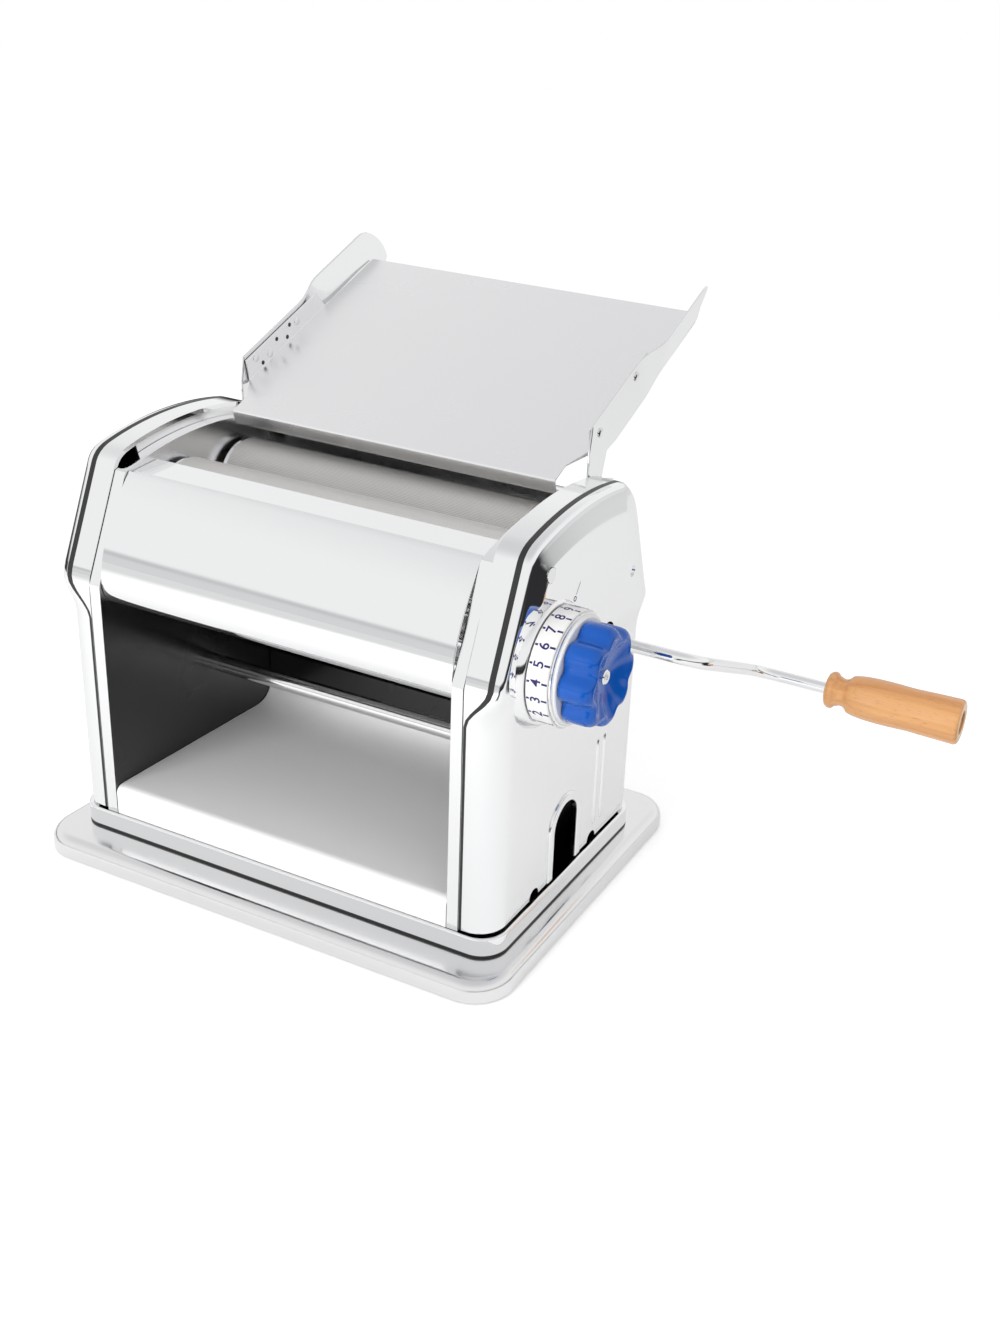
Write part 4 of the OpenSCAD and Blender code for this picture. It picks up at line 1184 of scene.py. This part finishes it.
def make_tray():
    bm = bmesh.new()
    half = [(THROAT_X, 0.0), (THROAT_X, 12.0), (RAIL_X, 26.0), (RAIL_X, KINK), (RAIL_X, TRAY_LEN)]
    plan = [(-THROAT_X, 0.0)] + half + [(-x, y) for x, y in half[:0:-1]]
    verts = [bm.verts.new((x * MM, y * MM, SHEET_LIFT * MM)) for x, y in plan]
    bm.faces.new(verts)
    lip = [e for e in bm.edges if all(abs(v.co.y) < 1e-6 for v in e.verts)]
    for dy, dz in ((-0.9, -0.5), (-0.5, -2.0), (-0.6, -5.6)):
        made = bmesh.ops.extrude_edge_only(bm, edges=lip)
        lip = [e for e in edges_of(made) if abs(e.verts[0].co.x - e.verts[1].co.x) > 0.1]
        bmesh.ops.translate(bm, verts=verts_of(made), vec=(0.0, dy * MM, dz * MM))
    rails = [e for e in bm.edges if all(abs(abs(v.co.x) - RAIL_X * MM) < 1e-6 for v in e.verts)
             and all(20 * MM < v.co.y < (KINK + 1) * MM for v in e.verts)]
    for vert in verts_of(bmesh.ops.extrude_edge_only(bm, edges=rails)):
        vert.co.z += RAIL_HEIGHT * MM
        vert.co.y += (3.0 if vert.co.y < 60 * MM else -4.0) * MM
    for vert in bm.verts:
        x, along, lift = vert.co / MM
        vert.co = Vector((x, *sloped(along, lift))) * MM
    tray = as_object(bm, "dough_sheet_tray", SATIN, sharp=25.0)
    thicken(tray, 1.15, offset=0.0)
    soften(tray, 0.35, 2, 25.0)
    belongs(tray, "tray", "plate_steel", "dough_tray")


def dots_on_both_sides(name, spots, profile, steps, material, *nodes):
    bm = bmesh.new()
    for sign in (1, -1):
        for spot in spots:
            one = lathe(profile, *sloped(*spot), steps)
            if sign < 0:
                bmesh.ops.scale(one, verts=one.verts, vec=(-1.0, 1.0, 1.0))
            part = bpy.data.meshes.new("dot")
            one.to_mesh(part)
            one.free()
            bm.from_mesh(part)
            bpy.data.meshes.remove(part)
    belongs(as_object(bm, name, material), "tray", "bright_steel", *nodes)


dots_on_both_sides("rail_rivets", ((37.0, 10.0), (49.0, 5.0), (79.0, 8.5)),
                   [(113.2, 0.0), (113.2, 2.5), (112.75, 2.4), (112.4, 1.6), (112.3, 0.0)],
                   24, TURNED)
# Dark discs in the rails: painted shade standing for small holes.
dots_on_both_sides("painted_shade_rail_holes", ((58.0, 9.5), (67.0, 5.0), (72.0, 10.5), (41.0, 4.0)),
                   [(113.2, 0.0), (113.2, 1.3), (112.95, 1.3), (112.95, 0.0)], 24, PAINTED_SHADE_AND_REFLECTION)
make_tray()

# %% [markdown]
# The tray's side plates stand on the frame's crown and flare outwards from the kink on. A
# plate begins as its outline in the side view; cuts across it give it points to bend at, and
# a smooth step then leans the upper part outwards. Two domed rivets hold each plate.


# %% Tray wings
WING_IN, WING_OUT, FRAME_CROWN_R = 114.5, 115.7, 209.35
FLARE, FLARE_FROM, FLARE_TO = math.tan(math.radians(24.0)), 88.0, 118.0


def make_wing(name, sign, node):
    outline = [(35.4, crown(35.4, FRAME_CROWN_R)), (51.0, crown(51.0, FRAME_CROWN_R)),
               sloped(40.0, -8.5), sloped(52.0, -10.0), sloped(104.0, -10.0),
               sloped(179.8, -10.0), sloped(179.8, 15.6), sloped(96.0, 15.6),
               sloped(30.0, 15.6), (37.0, 263.0), (35.2, 254.0)]
    bm = side_plate(outline, sign * WING_IN, sign * WING_OUT, rounds=((6, 12.5), (5, 12.5)))
    bm.verts.ensure_lookup_table()
    for along in [84 + 3 * k for k in range(14)]:
        y, z = sloped(along, 0.0)
        bmesh.ops.bisect_plane(bm, geom=list(bm.verts) + list(bm.edges) + list(bm.faces),
                               plane_co=(0.0, y * MM, z * MM),
                               plane_no=(0.0, math.cos(SLOPE), math.sin(SLOPE)), dist=1e-7)
    for vert in bm.verts:
        y, z = vert.co.y / MM - TRAY_Y, vert.co.z / MM - TRAY_Z
        along = y * math.cos(SLOPE) + z * math.sin(SLOPE)
        lift = -y * math.sin(SLOPE) + z * math.cos(SLOPE)
        lean = FLARE * smooth(along, FLARE_FROM, FLARE_TO)
        vert.co.x += sign * lean * max(lift, -4.0) * MM
    wing = as_object(bm, name, PLATE, sharp=25.0)
    soften(wing, 0.3, 2, 30.0)
    belongs(wing, "tray", "plate_steel", node)


make_wing("wing_plate_right", 1, "tray_wing_right")
make_wing("wing_plate_left", -1, "tray_wing_left")
dots_on_both_sides("domed_rivets", ((36.0, 7.0), (84.0, 10.0)),
                   [(114.5, 0.0), (114.5, 1.5), (115.75, 1.5), (115.75, 2.8), (116.2, 2.6),
                    (116.55, 1.8), (116.7, 0.0)], 28, TURNED, "tray_rivets")

# %% [markdown]
# Metal only looks like metal if there is something to reflect. The floor and the sky are pale
# to the camera, but glossy surfaces also see dark cards and a dark far wall, as in a real
# studio. These helpers make the masks for that: a sector of the compass, the rest of a mask,
# a grey painted over a colour through a mask, and a mask that chooses between two shaders.


# %% Helpers for masks
FRONT_SECTOR, BACK_SECTOR = (-112.0, 34.0, 8.0), (78.0, 34.0, 12.0)
CARDS = ((-63.0, 9.0, 4.0), (22.0, 15.0, 6.0))


def sector(tree, place, middle, half, soft):
    """1 where the direction's compass angle lies within half degrees of middle."""
    middle, inside, outside = (math.radians(v) for v in (middle, half - soft, half + soft))
    level = add_node(tree, "VectorMath", operation="MULTIPLY")
    level.inputs[1].default_value = (1.0, 1.0, 0.0)
    unit = add_node(tree, "VectorMath", operation="NORMALIZE")
    toward = add_node(tree, "VectorMath", operation="DOT_PRODUCT")
    toward.inputs[1].default_value = (math.cos(middle), math.sin(middle), 0.0)
    tree.links.new(place, level.inputs[0])
    tree.links.new(level.outputs["Vector"], unit.inputs[0])
    tree.links.new(unit.outputs["Vector"], toward.inputs[0])
    return ramp_between(tree, toward.outputs["Value"], math.cos(outside), math.cos(inside))


def all_but(tree, mask, amount=1.0):
    node = add_node(tree, "Math", operation="MULTIPLY_ADD", in_1=-amount, in_2=1.0)
    tree.links.new(mask, node.inputs[0])
    return node.outputs[0]


def painted(tree, colour, mask, shade):
    return mixed(tree, mask, colour, (shade, shade, shade * 1.02))


def chosen_shader(tree, mask, first, second):
    node = add_node(tree, "MixShader")
    for number, output in enumerate((mask, first, second)):
        tree.links.new(output, node.inputs[number])
    return node.outputs[0]


print("dark cards on the floor:", len(CARDS))

# %% [markdown]
# The floor is a large pale sheet that keeps the machine's shadow. It glows a little to the
# camera, so that it meets the white sky without a line. Glossy surfaces see dark cards on it
# and a dark ring far out, which is left open in front and is fainter behind.


# %% Floor
CAMERA_GLOW, GLOSSY_GLOW = 0.36, 0.16
CARD_EDGE, RING_EDGE = (0.40, 0.50), (1.3, 1.6)


def floor_darkness(tree, place):
    reach = add_node(tree, "VectorMath", operation="LENGTH")
    tree.links.new(place, reach.inputs[0])
    away = ramp_between(tree, reach.outputs["Value"], *CARD_EDGE)
    far = ramp_between(tree, reach.outputs["Value"], *RING_EDGE)
    ring = joined(tree, "MULTIPLY", far, all_but(tree, sector(tree, place, *FRONT_SECTOR)))
    dark = joined(tree, "MULTIPLY", ring, all_but(tree, sector(tree, place, *BACK_SECTOR), 0.9))
    for card in CARDS:
        shape = joined(tree, "MULTIPLY", sector(tree, place, *card), away)
        dark = joined(tree, "MAXIMUM", dark, shape)
    return dark


def build_floor():
    bm = bmesh.new()
    bmesh.ops.create_grid(bm, x_segments=1, y_segments=1, size=7.0)
    mesh = bpy.data.meshes.new("floor")
    bm.to_mesh(mesh)
    bm.free()
    floor = bpy.data.objects.new("floor", mesh)
    bpy.context.scene.collection.objects.link(floor)
    material, tree, shader = new_material("pale floor", Base_Color=(0.9, 0.9, 0.9, 1.0),
                                          Roughness=0.9, Emission_Color=(1.0, 1.0, 1.0, 1.0),
                                          Specular_IOR_Level=0.1)
    light_path = add_node(tree, "LightPath")
    glow = add_node(tree, "Math", operation="MULTIPLY", in_1=CAMERA_GLOW)
    glow_glossy = add_node(tree, "Math", operation="MULTIPLY_ADD", in_1=GLOSSY_GLOW)
    tree.links.new(light_path.outputs["Is Camera Ray"], glow.inputs[0])
    tree.links.new(light_path.outputs["Is Glossy Ray"], glow_glossy.inputs[0])
    tree.links.new(glow.outputs[0], glow_glossy.inputs[2])
    tree.links.new(glow_glossy.outputs[0], shader.inputs["Emission Strength"])
    dark = floor_darkness(tree, add_node(tree, "TexCoord").outputs["Object"])
    only = joined(tree, "MULTIPLY", dark, light_path.outputs["Is Glossy Ray"])
    black = add_node(tree, "Emission", in_Color=(0.03, 0.03, 0.032, 1.0), in_Strength=1.0)
    surface = chosen_shader(tree, only, shader.outputs[0], black.outputs[0])
    tree.links.new(surface, tree.nodes["Material Output"].inputs["Surface"])
    mesh.materials.append(material)
    floor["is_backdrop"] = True
    print("floor:", floor.name, "dark from", CARD_EDGE[0], "m outwards")


build_floor()

# %% [markdown]
# The world is plain white to the camera and a little less bright as a fill light. Glossy
# surfaces see a third version: white that greys towards the zenith, with a dark band at the
# horizon that is lighter in front and behind.


# %% World
FILL_STRENGTH = 0.72
SKY, ZENITH, HORIZON = (0.98, 0.98, 0.98), 0.70, 0.05
FRONT_SHADE, BACK_SHADE = 0.74, 0.82


def sky_colour(tree):
    direction = add_node(tree, "TexCoord").outputs["Generated"]
    parts = add_node(tree, "SeparateXYZ")
    tree.links.new(direction, parts.inputs["Vector"])
    height = parts.outputs["Z"]
    colour = painted(tree, SKY, ramp_between(tree, height, 0.45, 1.0), ZENITH)
    horizon = all_but(tree, ramp_between(tree, height, 0.05, 0.13))
    colour = painted(tree, colour, horizon, HORIZON)
    for place, shade in ((FRONT_SECTOR, FRONT_SHADE), (BACK_SECTOR, BACK_SHADE)):
        mask = joined(tree, "MULTIPLY", sector(tree, direction, *place), horizon)
        colour = painted(tree, colour, mask, shade)
    return colour


def build_world():
    world = bpy.data.worlds.new("studio")
    bpy.context.scene.world = world
    world.use_nodes = True
    tree = world.node_tree
    tree.nodes.clear()
    out = add_node(tree, "OutputWorld")
    light_path = add_node(tree, "LightPath")
    glossy = add_node(tree, "Background", in_Strength=1.0)
    tree.links.new(sky_colour(tree), glossy.inputs["Color"])
    plain = add_node(tree, "Background", in_Color=(1.0, 1.0, 1.0, 1.0), in_Strength=1.0)
    fill = add_node(tree, "Background", in_Color=(1.0, 1.0, 1.0, 1.0), in_Strength=FILL_STRENGTH)
    seen = chosen_shader(tree, light_path.outputs["Is Glossy Ray"], fill.outputs[0],
                         glossy.outputs[0])
    seen = chosen_shader(tree, light_path.outputs["Is Camera Ray"], seen, plain.outputs[0])
    tree.links.new(seen, out.inputs["Surface"])
    print("world:", world.name, "fill", FILL_STRENGTH)


build_world()

# %% [markdown]
# Three soft square lamps give the shadows a direction: a key lamp in front, a weak one at the
# right and a low one that reaches into the housing. Glossy surfaces don't see them, because a
# bright square in the chrome would look like a window.


# %% Lamps
LAMPS = (("key", (-0.25, -1.45, 0.80), (0.0, 0.0, 0.1), 1.1, 8.0),
         ("fill", (1.4, 0.3, 1.2), (0.0, 0.0, 0.1), 0.8, 2.5),
         ("low", (-0.2, -1.0, 0.42), (-0.02, -0.02, 0.05), 0.6, 3.5))
for lamp_name, place, aim, size, power in LAMPS:
    lamp = bpy.data.lights.new(lamp_name, "AREA")
    lamp.shape = "SQUARE"
    lamp.size = size
    lamp.energy = power
    holder = bpy.data.objects.new(lamp_name, lamp)
    holder.location = place
    holder.rotation_euler = (Vector(aim) - Vector(place)).to_track_quat("-Z", "Y").to_euler()
    holder.visible_glossy = False
    bpy.context.scene.collection.objects.link(holder)
print("lamps:", [row[0] for row in LAMPS])

# %% Sizes and finish
print("sizes:", plain_box())
